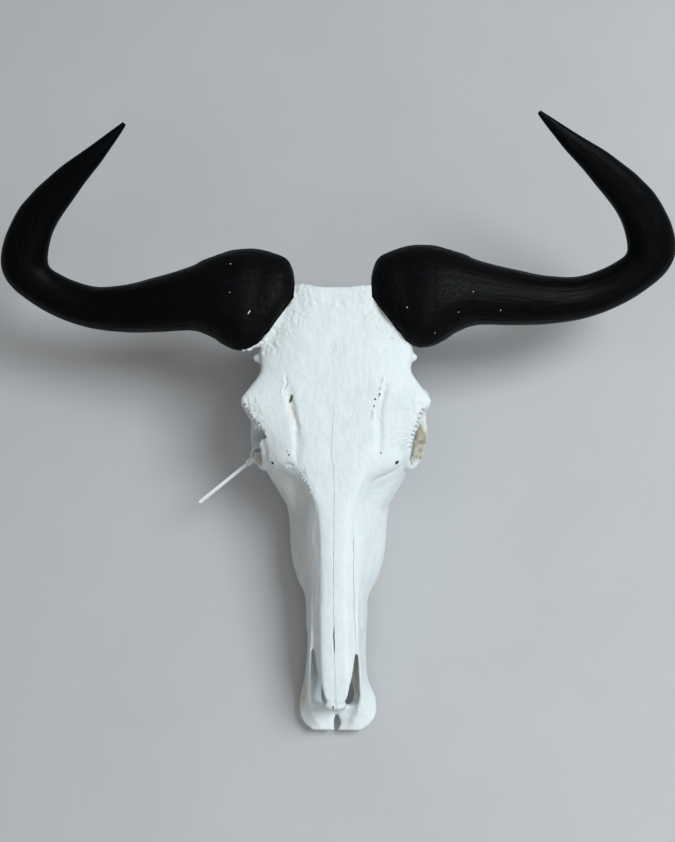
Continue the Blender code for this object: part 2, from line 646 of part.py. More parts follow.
def bone_pieces(collection):
    """The overlapping forms whose union is the bone body."""
    pieces = [
        loft("face", [face_ring(*row) for row in smooth_rows(FACE, 2)], collection),
        loft("shield", [shield_ring(*row) for row in smooth_rows(SHIELD, 2)], collection),
        loft("braincase", [braincase_ring(*row) for row in smooth_rows(BRAINCASE, 2)], collection),
        loft("nuchal", [nuchal_ring(POLL + past, scale) for past, scale in NUCHAL_SECTIONS], collection),
        sweep("base", BASE, collection),
        sweep("bridge", BRIDGE, collection, up=Vector((0, 1, 0))),
        past_poll("occipital", 1, OCCIPITAL, OCCIPITAL_RADII, collection),
    ]
    pieces += both_sides(sweep, "orbit", ORBIT, collection, sides=12, count=36,
                         up=Vector((1, 0, 0)), closed=True)
    pieces += both_sides(sweep, "ear", EAR, collection)
    pieces += both_sides(hull, "cheek", CHEEK, collection)
    pieces += both_sides(sweep, "pterygoid", PTERYGOID, collection)
    pieces += both_sides(sweep, "paroccipital", PAROCCIPITAL, collection, up=Vector((0, 1, 0)))
    for side in (1, -1):
        label = "left" if side > 0 else "right"
        pieces.append(loft("front_" + label, premaxilla_rings(side), collection))
        pieces.append(past_poll("condyle_" + label, side, CONDYLE, CONDYLE_RADII, collection))
        pieces.append(ball("bulla_" + label, (side * BULLA[0], *BULLA[1:]), BULLA_RADII, collection))
        pieces.append(ball("knob_" + label, *KNOBS[side], collection))
        pieces.append(sweep("arch_" + label, arch_stations(side), collection, sides=12, count=24))
        pieces.append(pedicle("pedicle_" + label, side, collection))
    return pieces


def blend(item):
    """Make one even skin round overlapping pieces."""
    remesh = item.modifiers.new("blend", "REMESH")
    remesh.mode = "VOXEL"
    remesh.voxel_size = VOXEL
    apply_modifiers(item)


def bone_body(cutters):
    """The blended bone body with its nasal passage and the hole for the spine."""
    pieces = bone_pieces(cutters)
    bm = bmesh.new()
    for piece in pieces:
        bm.from_mesh(piece.data)
        bpy.data.objects.remove(piece, do_unlink=True)
    body = from_bmesh_as_is("bone_body", bm, cutters)
    blend(body)
    airway = loft("airway", [airway_ring(*row) for row in AIRWAY], cutters)
    canal = sweep("canal", CANAL, cutters)
    for hole in (airway, canal):
        boolean(body, hole, "DIFFERENCE")
        bpy.data.objects.remove(hole, do_unlink=True)
    blend(body)
    soften = body.modifiers.new("soften", "SMOOTH")
    soften.factor = 0.5
    soften.iterations = 4
    thin = body.modifiers.new("thin", "DECIMATE")
    thin.ratio = BODY_TRIANGLES / max(1, len(body.data.polygons) * 2)
    apply_modifiers(body)
    keep_largest(body)
    return body


def from_bmesh_as_is(name, bm, collection):
    """An object out of a bmesh, keeping the way its faces point."""
    mesh = bpy.data.meshes.new(name)
    bm.to_mesh(mesh)
    bm.free()
    return new_object(name, mesh, collection)


def block(side, limits, cutters):
    """A region of one side, from the middle plane outwards."""
    near, far, low, high, slant = limits
    x0, x1 = sorted((side * GAP / 2, side * POLL))
    return hull("region", [(x, y + (slant if z == high else 0), z)
                           for x in (x0, x1) for y in (near, far) for z in (low, high)], cutters)


def region_round(corners, side, cutters):
    """A region of one side out of its corner points."""
    return hull("region", [(side * x, y, z) for x, y, z in corners], cutters)


def take(body, region, name, parts):
    """Part a region off the body, leaving a thin gap."""
    piece = duplicate(body, name, parts)
    boolean(piece, region, "INTERSECT")
    grow(region, GAP)
    boolean(body, region, "DIFFERENCE")
    bpy.data.objects.remove(region, do_unlink=True)
    keep_largest(piece)
    keep_largest(body)
    return piece


def tooth_places():
    """Centre, length and width of each tooth lobe along one row."""
    places = []
    y = TOOTH_START
    total = sum(TOOTH_LENGTHS)
    for length, width in zip(TOOTH_LENGTHS, TOOTH_WIDTHS):
        lobes = 2 if length > 15 else 1
        for lobe in range(lobes):
            middle = y + length * (lobe + 0.5) / lobes
            share = (middle - TOOTH_START) / total
            x = TOOTH_ROW_FRONT_X + (TOOTH_ROW_BACK_X - TOOTH_ROW_FRONT_X) * share
            places.append((x, middle, length / lobes, width))
        y += length
    return places


def add_teeth(maxilla, side, cutters):
    """Fuse the cheek teeth to a maxilla."""
    for x, y, length, width in tooth_places():
        rings = []
        for z, scale in TOOTH_PROFILE:
            rings.append(oval((side * x, y, z), Vector((1, 0, 0)), Vector((0, 1, 0)),
                              width / 2 * scale, (length / 2 + 0.5) * scale, 10, 2.6))
        tooth = loft("tooth", rings, cutters)
        boolean(maxilla, tooth, "UNION")
        bpy.data.objects.remove(tooth, do_unlink=True)
    keep_largest(maxilla)


def make_horn(side, parts):
    """One horn, solid, from its ragged base to its tip."""
    name = "horn_left" if side > 0 else "horn_right"
    return loft(name, horn_rings(side), parts)


def make_nasal(side, parts):
    """One nasal bone."""
    name = "nasal_left" if side > 0 else "nasal_right"
    return loft(name, nasal_rings(side, 0.0, 0.0), parts)


# the cable tie round the bar under the right eye socket: strap, lock and straight tail
TIE_WIDTH = 3.8
TIE_THICK = 1.4
TIE_CENTRE = Vector((-83.0, 277.0, 69.5))
TIE_RUN = Vector((0.10, 0.72, -0.68))
TIE_HALF = (8.0, 10.5)
TIE_LOCK = (9.0, 6.4, 5.6)
TIE_LOCK_PLACE = Vector((-92.3, 271.2, 65.3))
TIE_TAIL_END = Vector((-145.0, 226.5, 62.0))
TIE_STEPS = 20
# share of the tail's length against its share of the strap's width
TIE_TAIL_PROFILE = ((0.0, 1.0), (0.96, 1.0), (1.0, 0.6))


def cable_tie(parts, cutters):
    """A nylon cable tie: strap loop, lock and straight tail, moulded in one."""
    run = TIE_RUN.normalized()
    side = run.cross(Vector((0, 0, 1))).normalized()
    top = side.cross(run).normalized()
    rings = []
    for k in range(TIE_STEPS):
        turn = 2 * math.pi * k / TIE_STEPS
        out = side * math.cos(turn) * TIE_HALF[0] + top * math.sin(turn) * TIE_HALF[1]
        face = out.normalized()
        centre = TIE_CENTRE + out
        rings.append([centre + run * a * TIE_WIDTH / 2 + face * b * TIE_THICK / 2
                      for a, b in ((1, 1), (-1, 1), (-1, -1), (1, -1))])
    strap = loft("cable_tie", rings, parts, closed=True)
    away = (TIE_TAIL_END - TIE_LOCK_PLACE).normalized()
    flat = away.cross(Vector((0, 0, 1))).normalized()
    up = flat.cross(away).normalized()
    lock = loft("lock", [oval(TIE_LOCK_PLACE + away * a, flat, up, TIE_LOCK[1] / 2, TIE_LOCK[2] / 2, 8, 6.0)
                         for a in (-TIE_LOCK[0] / 2, TIE_LOCK[0] / 2)], cutters)
    tail = loft("tail", [oval(TIE_LOCK_PLACE.lerp(TIE_TAIL_END, share), flat, up, TIE_WIDTH / 2 * wide,
                              TIE_THICK / 2, 8, 6.0)
                         for share, wide in TIE_TAIL_PROFILE], cutters)
    for piece in (lock, tail):
        boolean(strap, piece, "UNION")
        bpy.data.objects.remove(piece, do_unlink=True)
    return strap


def finish(item, look):
    """Scale a piece to metres and give it its material."""
    tidy(item)
    item.data.transform(Matrix.Scale(MM, 4))
    item.data.materials.clear()
    item.data.materials.append(look)
    item.data.shade_smooth()


def stand_on_origin(parts):
    """Put the middle of the bounding box over the origin and the lowest point on the floor."""
    corners = [v.co for item in parts.objects for v in item.data.vertices]
    low = Vector([min(c[k] for c in corners) for k in range(3)])
    high = Vector([max(c[k] for c in corners) for k in range(3)])
    shift = Vector((-(low.x + high.x) / 2, -(low.y + high.y) / 2, -low.z))
    for item in parts.objects:
        item.data.transform(Matrix.Translation(shift))


def main():
    """Model the skull."""
    clear_scene()
    parts = new_collection("wildebeest_skull")
    cutters = new_collection("cutters")
    body = bone_body(cutters)
    sides = ((1, "left"), (-1, "right"))
    horns = []
    nasals = []
    for side, label in sides:
        horn = make_horn(side, parts)
        horns.append(horn)
        bed = duplicate(horn, "bed", cutters)
        grow(bed, GAP)
        boolean(body, bed, "DIFFERENCE")
        bpy.data.objects.remove(bed, do_unlink=True)
        nasals.append(make_nasal(side, parts))
        bed = loft("bed", nasal_rings(side, GAP, BED_LIFT), cutters)
        boolean(body, bed, "DIFFERENCE")
        bpy.data.objects.remove(bed, do_unlink=True)
    bones = []
    for side, label in sides:
        region = block(side, PREMAXILLA_BLOCK, cutters)
        premaxilla = take(body, region, "premaxilla_" + label, parts)
        rod = sweep("rod", [(side * p[0], *p[1:]) for p in PALATE_ROD], cutters, sides=8, count=6)
        boolean(premaxilla, rod, "UNION")
        bpy.data.objects.remove(rod, do_unlink=True)
        bones.append(premaxilla)
    for side, label in sides:
        for name, corners in (("zygomatic_", ZYGOMATIC_REGION), ("lacrimal_", LACRIMAL_REGION)):
            region = region_round(corners, side, cutters)
            bones.append(take(body, region, name + label, parts))
    for side, label in sides:
        region = block(side, MAXILLA_BLOCK, cutters)
        maxilla = take(body, region, "maxilla_" + label, parts)
        add_teeth(maxilla, side, cutters)
        bones.append(maxilla)
    cranium = duplicate(body, "cranium", parts)
    bpy.data.objects.remove(body, do_unlink=True)
    bones.append(cranium)
    bone = material("bleached_bone", BONE, 0.65)
    horn = material("black_horn", HORN, 0.45)
    nylon = material("white_nylon", NYLON, 0.4)
    for item in bones + nasals:
        finish(item, bone)
    for item in horns:
        finish(item, horn)
    finish(cable_tie(parts, cutters), nylon)
    stand_on_origin(parts)


if __name__ == "__main__":
    main()
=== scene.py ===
"""A bleached wildebeest skull with black horns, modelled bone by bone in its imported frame.

The forms are drawn in millimetres with the nose towards -Y and the floor at z = 0, so the
animal's left is at +X. Each finished piece is then brought into the frame, in metres.
"""

import math
import random

import bmesh
import bpy
import numpy as np
from mathutils import Matrix, Vector
from mathutils.bvhtree import BVHTree


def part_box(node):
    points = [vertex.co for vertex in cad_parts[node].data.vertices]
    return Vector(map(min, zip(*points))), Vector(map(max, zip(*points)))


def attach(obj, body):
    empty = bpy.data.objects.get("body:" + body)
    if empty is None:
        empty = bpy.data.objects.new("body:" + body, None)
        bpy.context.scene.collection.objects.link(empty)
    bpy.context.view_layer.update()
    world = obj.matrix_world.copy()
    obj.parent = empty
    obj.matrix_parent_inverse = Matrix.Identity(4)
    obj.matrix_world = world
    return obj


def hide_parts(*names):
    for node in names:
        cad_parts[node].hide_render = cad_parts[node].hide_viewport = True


bl_info = {
    "name": "Wildebeest skull",
    "version": (1, 0, 0),
    "blender": (4, 5, 0),
    "location": "3D View > Sidebar > Skull",
    "description": "Models a bleached wildebeest skull with black horns, bone by bone",
    "category": "Object",
}

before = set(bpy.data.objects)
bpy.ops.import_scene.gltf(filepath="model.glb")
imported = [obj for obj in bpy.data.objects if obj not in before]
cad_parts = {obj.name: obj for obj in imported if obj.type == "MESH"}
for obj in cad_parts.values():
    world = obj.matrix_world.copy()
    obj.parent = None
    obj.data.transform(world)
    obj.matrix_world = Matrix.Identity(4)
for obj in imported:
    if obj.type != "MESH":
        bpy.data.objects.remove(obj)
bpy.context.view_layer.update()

MM = 0.001
X, Y, Z = range(3)
DOWN = Vector((0.0, 0.0, -1.0))
OVERHEAD = 300.0                  # height from which the bones are felt for from above, in millimetres
CURVE_STEPS = 16                  # steps between two given points of a smooth curve
# Large numbers that give neighbouring cells of the grain values of their own
SCATTER = (73856093, 19349663, 83492791)
SCATTER_AGAIN = 1274126177
SEED_SHIFT = 17.31                # a seed moves the grain by this many cells
SMOOTH_ANGLE = math.radians(42)   # sharper edges than this stay sharp
GAP = 0.3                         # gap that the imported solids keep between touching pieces
NASAL_TIP = 22.0                  # where the nasal bones begin, from the front edge
NASAL_END = 242.0                 # where they meet the forehead
# Place of the drawing's zero in the frame
MOVE = Vector((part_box("nasal_left")[0].x - GAP / 2 * MM,
               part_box("nasal_left")[0].y - NASAL_TIP * MM, 0.0))
SIDES = ((1, "left"), (-1, "right"))

# Driving dimensions, in millimetres
SLOPE = math.radians(14.0)        # rise of the forehead line from the nose to the poll
NOSE_TOP = 66.0                   # height of that line above the floor at the front edge
POLL = 435.0                      # length along the line from the front edge to the poll
RIGHT_REACH = 6.0                 # the right horn reaches this much wider than the left one
RIGHT_DROOP = 0.034               # and lies this much further forward, per millimetre outwards
ALONG = Vector((0.0, math.cos(SLOPE), math.sin(SLOPE)))
ABOVE = Vector((0.0, -math.sin(SLOPE), math.cos(SLOPE)))
NOSE = Vector((0.0, 0.0, NOSE_TOP))

# Snout: y, corner of the flat top, brow x and z, cheek x and z, socket x and z, its inner side, palate
FACE = (
    (98.0, 12.0, 23.5, 71.0, 30.0, 44.0, 28.0, 21.0, 17.0, 22.0),
    (132.0, 12.0, 25.5, 77.0, 32.5, 42.0, 30.0, 20.0, 18.0, 22.0),
    (150.0, 12.0, 27.5, 81.0, 40.0, 43.0, 38.0, 15.0, 24.0, 22.0),
    (170.0, 12.5, 29.5, 85.0, 46.5, 42.0, 43.0, 13.0, 26.0, 21.0),
    (190.0, 13.5, 31.0, 89.0, 49.5, 40.0, 46.0, 13.0, 27.0, 21.0),
    (215.0, 18.5, 30.0, 98.0, 51.0, 45.0, 47.0, 13.0, 28.0, 21.0),
    (240.0, 29.0, 40.0, 104.0, 56.0, 60.0, 49.0, 13.0, 29.0, 21.0),
    (258.0, 30.0, 52.0, 106.0, 59.0, 70.0, 48.0, 15.0, 28.0, 24.0),
    (268.0, 24.0, 44.0, 104.0, 48.0, 72.0, 40.0, 30.0, 22.0, 34.0),
)
# Airway: y, half width, its height range
AIRWAY = (
    (88.0, 17.5, 27.0, 80.0),
    (104.0, 18.5, 27.0, 82.0),
    (120.0, 19.5, 27.0, 82.0),
    (150.0, 19.0, 30.0, 80.0),
    (172.0, 12.0, 38.0, 76.0),
    (180.0, 4.0, 50.0, 66.0),
)
# Front bone: y, inner edge of the right and of the left bone, outer edge, ridge x, ridge z, lower z,
# wall thickness
PREMAXILLA = (
    (0.8, 0.4, 0.8, 23.5, 11.0, 17.0, 11.0, 3.0),
    (7.0, 1.5, 4.4, 31.0, 17.0, 21.0, 10.5, 4.5),
    (13.0, 1.0, 3.2, 35.2, 20.5, 24.5, 10.8, 5.0),
    (19.0, 0.4, 0.6, 36.8, 23.0, 28.5, 11.3, 5.0),
    (22.5, 0.4, 0.4, 37.1, 24.0, 30.5, 11.7, 5.0),
    (25.0, 1.2, 1.6, 37.3, 24.5, 32.0, 12.0, 5.0),
    (27.0, 11.0, 13.5, 37.3, 24.8, 33.2, 12.4, 5.0),
    (33.0, 14.5, 17.5, 36.9, 25.6, 37.6, 13.6, 5.0),
    (44.0, 14.5, 17.5, 34.8, 25.0, 46.5, 15.5, 5.0),
    (56.0, 13.0, 14.5, 32.0, 24.8, 57.0, 17.5, 5.0),
    (70.0, 13.0, 13.0, 30.8, 23.8, 67.0, 19.0, 5.0),
    (80.0, 13.0, 13.0, 30.3, 22.8, 70.5, 20.0, 5.5),
    (94.0, 13.0, 13.0, 30.5, 22.8, 73.5, 20.5, 6.0),
    (126.0, 13.0, 13.0, 32.0, 23.5, 79.0, 21.0, 6.0),
)
FRONT_SLOPE = (45.0, 70.0)        # their inner side slopes gently up to here and is steep from there on
GENTLE_WALL = 0.60                # where it slopes, its upper corner lies this share of the way outwards
GENTLE_FLOOR = 0.28               # and its lower corner this share
LEFT_FLARE = 0.10                 # the left front plate is wider than the right one by this share
LEFT_FLARE_ENDS = 50.0            # up to here from the front edge
LEFT_FLARE_FADE = 15.0            # over which length it narrows again
# Rough bone that rises from the front bones to the tips of the nasal bones and spreads there into a
# ragged shelf: x, y, z and half sizes
BRIDGE = ((0.6, 24.0, 14.0, 12.0, 5.0), (0.7, 24.0, 28.0, 11.0, 5.0), (0.9, 23.5, 42.0, 10.2, 5.4),
          (1.3, 22.5, 54.0, 10.4, 6.0), (1.8, 21.0, 63.0, 11.2, 6.6), (2.2, 20.5, 69.0, 10.2, 5.0))
PALATE_ROD = ((6.5, 14.0, 14.5, 2.6, 1.8), (5.0, 30.0, 16.0, 2.4, 1.8), (4.5, 55.0, 18.0, 2.2, 1.8),
              (4.5, 82.0, 20.5, 2.0, 1.8))
# Forehead: y, half width, drop of the rim, thickness in the middle and at the rim
SHIELD = (
    (226.0, 22.0, 8.0, 14.0, 6.0),
    (238.0, 38.0, 12.0, 16.0, 6.0),
    (254.0, 66.0, 17.0, 18.0, 7.0),
    (268.0, 69.0, 14.0, 18.0, 7.0),
    (284.0, 76.0, 11.0, 18.0, 8.0),
    (300.0, 86.0, 9.5, 18.0, 9.0),
    (314.0, 95.5, 9.0, 18.0, 10.0),
    (328.0, 86.0, 9.5, 18.0, 12.0),
    (344.0, 76.0, 11.0, 20.0, 16.0),
    (362.0, 77.0, 14.0, 24.0, 20.0),
    (382.0, 76.0, 15.0, 26.0, 22.0),
    (404.0, 66.0, 11.0, 26.0, 23.0),
    (422.0, 48.0, 6.0, 24.0, 22.0),
)
# Braincase: distance along the forehead line, half width, depth of top and bottom under it
BRAINCASE = (
    (243.0, 40.0, 8.0, 82.0),
    (268.0, 33.0, 6.0, 84.0),
    (295.0, 28.0, 6.0, 86.0),
    (320.0, 31.0, 6.0, 90.0),
    (345.0, 40.0, 6.0, 96.0),
    (370.0, 48.0, 6.0, 101.0),
    (395.0, 51.0, 4.0, 105.0),
    (420.0, 50.0, 3.0, 108.0),
    (436.0, 45.0, 6.0, 104.0),
)
# Back of the skull: half width against the depth under the poll
NUCHAL = ((37.0, 1.0), (46.0, 14.0), (54.0, 34.0), (62.0, 58.0), (61.0, 76.0),
          (50.0, 92.0), (36.0, 106.0), (18.0, 112.0), (0.0, 113.0))
# Its cross-sections: place behind the poll and size
NUCHAL_STEPS = ((-15.0, 0.96), (-4.0, 1.0), (1.0, 0.93))
# Bars and rods: x, y, z, half width and half height
ORBIT = (
    (90.5, 314.0, 122.0, 6.0, 5.0),
    (81.0, 296.0, 119.5, 5.5, 4.5),
    (73.0, 277.0, 113.5, 5.5, 4.5),
    (70.0, 262.0, 99.5, 5.5, 5.5),
    (75.0, 260.0, 85.0, 6.0, 6.0),
    (82.0, 274.0, 70.0, 4.2, 6.0),
    (86.0, 296.0, 63.0, 4.0, 7.5),
    (86.0, 318.0, 67.0, 4.0, 8.0),
    (87.0, 333.0, 86.0, 5.0, 5.5),
    (89.0, 331.0, 108.0, 5.5, 5.0),
)
ARCH = ((86.0, 310.0, 67.0, 3.6, 8.0), (83.0, 330.0, 70.0, 3.8, 8.5),
        (73.0, 350.0, 74.0, 3.8, 8.0), (68.0, 368.0, 77.0, 4.4, 7.5),
        (71.0, 382.0, 79.0, 6.0, 7.5), (66.0, 392.0, 75.0, 9.0, 7.5),
        (46.0, 394.0, 72.0, 15.0, 9.0))
LEFT_WAIST = 3.5                  # the left arch is this much narrower behind the eye socket,
LEFT_WAIST_Y = (340.0, 390.0)     # between these places
# Small knobs in front of the horn roots: centre and radii
KNOBS = {1: ((73.0, 361.5, 132.0), (10.5, 5.5, 6.5)),
         -1: ((-75.5, 361.5, 132.0), (10.5, 6.0, 6.5))}
EAR = ((40.0, 406.0, 72.0, 8.0, 8.0), (52.0, 408.0, 75.0, 8.0, 8.0), (63.0, 411.0, 77.0, 6.5, 6.5))
BULLA = (29.0, 400.0, 40.0)
BULLA_RADII = (10.0, 15.0, 15.0)
# Round forms on the back of the skull: x, how far past the poll, depth under it
CONDYLE = (23.0, 8.0, 108.0)
CONDYLE_RADII = (14.0, 14.0, 19.0)
OCCIPITAL = (0.0, 2.0, 98.0)
OCCIPITAL_RADII = (33.0, 9.0, 24.0)
# Bars again
CANAL = ((0.0, 395.0, 72.0, 12.0, 12.0), (0.0, 425.0, 70.0, 14.0, 13.0), (0.0, 470.0, 66.0, 15.0, 14.0))
# Corners of the block of the cheek
CHEEK = ((44, 212, 40), (42, 214, 66), (37, 238, 99), (52, 260, 118), (68, 264, 112),
         (72, 260, 101), (76, 260, 82), (78, 266, 70), (72, 266, 62), (56, 244, 40),
         (55, 264, 52), (50, 268, 100))
CHEEK_FINENESS = 2.2              # the cheek's corners are rounded by about this much
PTERYGOID = ((17.0, 254.0, 40.0, 2.6, 22.0), (18.5, 274.0, 44.0, 2.4, 20.0),
             (19.5, 296.0, 50.0, 2.3, 17.0), (19.0, 318.0, 57.0, 2.3, 12.0))
BASE = ((0.0, 300.0, 64.0, 9.0, 9.0), (0.0, 340.0, 58.0, 12.0, 10.0),
        (0.0, 380.0, 54.0, 16.0, 11.0), (0.0, 420.0, 54.0, 20.0, 12.0),
        (0.0, 442.0, 58.0, 22.0, 12.0))
PAROCCIPITAL = ((44.0, 438.0, 66.0, 9.0, 12.0), (45.0, 437.0, 44.0, 6.0, 11.0),
                (44.0, 433.0, 22.0, 4.0, 9.0), (42.0, 429.0, 6.0, 3.4, 6.5),
                (41.5, 428.0, 0.0, 3.2, 5.0))
# Corners of the blocks along which the bones part
ZYGOMATIC_REGION = (
    (48, 218, 26), (46, 222, 66), (62, 246, 86), (62, 290, 96), (70, 340, 98), (62, 262, 26),
    (70, 356, 60), (70, 344, 90), (140, 218, 26), (140, 222, 66), (140, 246, 86), (140, 290, 96),
    (140, 340, 98), (140, 262, 26), (140, 356, 60), (140, 344, 90), (60, 300, 26), (140, 300, 26))
LACRIMAL_REGION = (
    (30, 226, 90), (48, 226, 80), (52, 284, 84), (50, 268, 90), (34, 226, 150), (56, 264, 150),
    (74, 284, 150), (74, 284, 84), (120, 226, 70), (120, 284, 84), (120, 284, 150), (120, 226, 150))
# Blocks from the middle plane outwards: y range, z range, and how far their top leans back
PREMAXILLA_BLOCK = (-20.0, 68.0, -5.0, 110.0, 52.0)
MAXILLA_BLOCK = (20.0, 266.0, -20.0, 160.0, -32.0)
# Nasal bones
NASAL_WIDTHS = ((NASAL_TIP, 7.5), (23.2, 9.6), (26.0, 11.0), (30.0, 12.3), (44.0, 15.5), (56.0, 18.6),
                (72.0, 21.0), (90.0, 21.0), (110.0, 20.2), (140.0, 19.0), (165.0, 19.2), (200.0, 18.5),
                (222.0, 16.5), (NASAL_END, 8.0))
NASAL_CORNER = 12.0               # their flat top reaches this far from the middle
NASAL_ARCH = 0.8                  # fall of their top from the middle to there
NASAL_SIDE = 1.6                  # fall of their sides beyond it, per millimetre
NASAL_ROUND = 1.5                 # length over which they turn from the one to the other
NASAL_FLAT_FROM = 200.0           # from here back the nasal bones flatten into the forehead
NASAL_FLAT_SHARE = 0.1            # share of their crown that is left at their back end
NASAL_SWAY = 3.0                  # their tips lie this far to the left of the middle
NASAL_SWAY_FROM = 110.0           # and start to lean here
NASAL_FREE_END = 112.0            # they stand free of the other bones up to here
NASAL_THICK = 4.6
NASAL_TIP_THICK = 3.4             # they are this thick up to the next length
NASAL_TIP_LENGTH = 40.0
NASAL_RIM = 2.6                   # height of their outer edge
NASAL_ROOM = 9.0                  # the room that parts a nasal bone off is open this much upwards
NASAL_AHEAD = 3.0                 # and reaches this far ahead of its tip
NASAL_CLEAR = {1: 0.30, -1: 0.12}  # gap beside the left and the right nasal bone
NASAL_WAVE = 30.0                 # their edges are wavy from this far behind the tip
NASAL_STEP = 2.0                  # distance from one of their cross-sections to the next
# Share of that gap that is open at y
NASAL_CLEAR_SHARES = ((60.0, 0.5), (80.0, 1.0), (150.0, 1.0), (185.0, 0.4), (200.0, 0.15))
# Middle slit between the nasal bones: y, and how much wider each side opens
NASAL_SLIT = ((NASAL_TIP, 0.2), (30.0, 0.3), (38.0, 0.5), (50.0, 0.55), (57.0, 0.25), (61.0, 0.0),
              (67.0, 0.0), (71.0, 0.5), (78.0, 0.7), (88.0, 0.65), (95.0, 0.15), (104.0, 0.06),
              (NASAL_END + 8.0, 0.04))
# Places across a nasal bone, as shares of its width: over its outer face, and back under it
NASAL_OVER = (0.0, 0.12, 0.25, 0.38, 0.5, 0.6, 0.66, 0.72, 0.78, 0.85, 0.92, 1.0)
NASAL_UNDER = (0.9, 0.82, 0.7, 0.6, 0.45, 0.2, 0.0)
# Teeth: where the rows begin, the length and width of each tooth, and the places of the rows
TOOTH_START = 150.0
TOOTH_LENGTHS = (10.0, 12.5, 13.5, 20.0, 24.0, 24.0)
TOOTH_WIDTHS = (10.0, 12.0, 14.0, 17.0, 18.0, 17.0)
GUM_HEIGHT = 14.0                 # height of the sockets above the floor
TOOTH_ROW_FRONT_X = 33.0
TOOTH_ROW_BACK_X = 37.5
LONG_TOOTH = 15.0                 # a tooth longer than this has two lobes
TOOTH_SIDES = 72
TOOTH_SQUARENESS = 0.62
# Cross-sections of a tooth, from the socket to the worn middle: height, size, share of its own wear
TOOTH_STEPS = (
    (GUM_HEIGHT + 8.0, 0.84, 0), (GUM_HEIGHT + 3.0, 0.90, 0), (GUM_HEIGHT - 2.0, 0.94, 0),
    (8.0, 0.98, 0), (5.0, 1.0, 0), (2.0, 1.0, 0), (0.6, 0.985, 0), (0.0, 0.955, 0), (0.0, 0.90, 0),
    (1.1, 0.85, 1), (1.5, 0.74, 1), (0.5, 0.64, 0), (0.2, 0.58, 0), (1.3, 0.48, 1), (2.4, 0.34, 0),
    (2.2, 0.16, 0),
)
# Horn centre line: x, length along the forehead line, height over it, half breadth and half
# depth across it, and the turn of the breadth in degrees
HORN_STATIONS = (
    (49.0, 410.0, -10.0, 23.0, 15.0, 37.0),
    (55.0, 424.0, -13.5, 43.0, 23.0, 20.0),
    (68.0, 427.0, -16.0, 50.5, 28.5, 12.0),
    (87.0, 429.0, -17.0, 53.5, 32.0, 3.0),
    (106.0, 430.5, -18.5, 50.0, 33.0, -1.0),
    (124.0, 433.5, -21.5, 41.5, 31.0, -2.0),
    (146.0, 434.0, -26.5, 33.5, 28.5, -1.0),
    (183.0, 431.0, -36.0, 29.0, 26.5, 0.0),
    (221.0, 430.0, -46.0, 25.0, 24.0, 0.0),
    (260.0, 435.0, -52.0, 22.2, 22.0, 9.0),
    (302.0, 453.5, -48.0, 21.6, 21.0, 46.0),
    (323.5, 477.5, -35.0, 24.6, 20.5, 86.0),
    (307.5, 517.0, -12.0, 21.5, 18.5, 117.0),
    (268.0, 550.5, 14.0, 15.8, 14.5, 129.0),
    (233.0, 572.5, 35.0, 9.8, 9.2, 124.0),
    (203.5, 594.0, 50.0, 3.2, 3.2, 124.0),
    (201.5, 596.2, 51.6, 1.4, 1.4, 124.0),
)
# Core of bone under it: its root and its end in the horn, in the same numbers
PEDICLE = ((26.0, 400.0, -25.0, 28.0, 16.0, 28.0), (58.0, 411.0, -19.0, 28.0, 18.0, 28.0))
HORN_SQUARENESS = 2.15
HORN_ROOT = (72.0, 428.0, -17.0)  # middle of the left horn's root, in the same numbers
HORN_SKIN = 0.35                  # the horn's skin lies this far inside its cross-sections
HORN_BOSS = (150.0, 70.0)         # lengths along the horn between which its rough root begins
HORN_SMOOTH = (520.0, 400.0)      # lengths between which its tip turns smooth
# White chips on the horns: x, y, z, half sizes and turn
CHIPS = {
    "left": (((72.4, 397.0, 178.0), (0.7, 0.8, 12.0), 0.0), ((124.0, 395.5, 172.0), (0.5, 0.6, 12.0), 0.0),
             ((138.8, 415.4, 173.0), (0.5, 0.6, 12.0), 0.0), ((167.0, 403.0, 162.0), (0.6, 0.9, 12.0), 0.0),
             ((170.5, 395.0, 152.0), (1.2, 0.9, 9.0), 0.3), ((100.5, 376.0, 154.0), (0.6, 0.6, 12.0), 0.0)),
    "right": (((-105.5, 442.0, 184.0), (0.7, 0.9, 12.0), 0.0),
              ((-105.0, 411.0, 178.0), (0.7, 0.8, 12.0), 0.0),
              ((-85.5, 392.5, 172.0), (0.8, 3.0, 12.0), -0.6)),
}
CHIP_WHITE = (0.62, 0.62, 0.60)
# Cable tie round the bar under the right eye socket
TIE_WIDTH = 3.8
TIE_THICK = 1.4
TIE_CENTRE = Vector((-83.0, 277.0, 69.5))  # middle of its loop
TIE_RUN = Vector((0.10, 0.72, -0.68))  # the way of the bar that the loop goes round
TIE_HALF = (8.0, 10.5)            # half width and half height of the loop
TIE_LOCK = (9.0, 6.4, 5.6)        # length, width and height of the lock
TIE_LOCK_PLACE = Vector((-92.3, 271.2, 65.3))
TIE_TAIL_END = Vector((-145.0, 226.5, 62.0))
TIE_RINGS = 72
TIE_TAIL_RINGS = 64
TIE_TIP = 1.9                     # the end of the tail is rounded over this length
TIE_TIP_WIDTH = 0.25              # and keeps this share of its width
# Ends of the lock: distance from the end, and size
TIE_LOCK_FRONT = ((0.0, 0.88), (0.4, 0.97), (1.0, 1.0))
TIE_LOCK_BACK = ((1.0, 1.0), (0.4, 0.97), (0.0, 0.86))

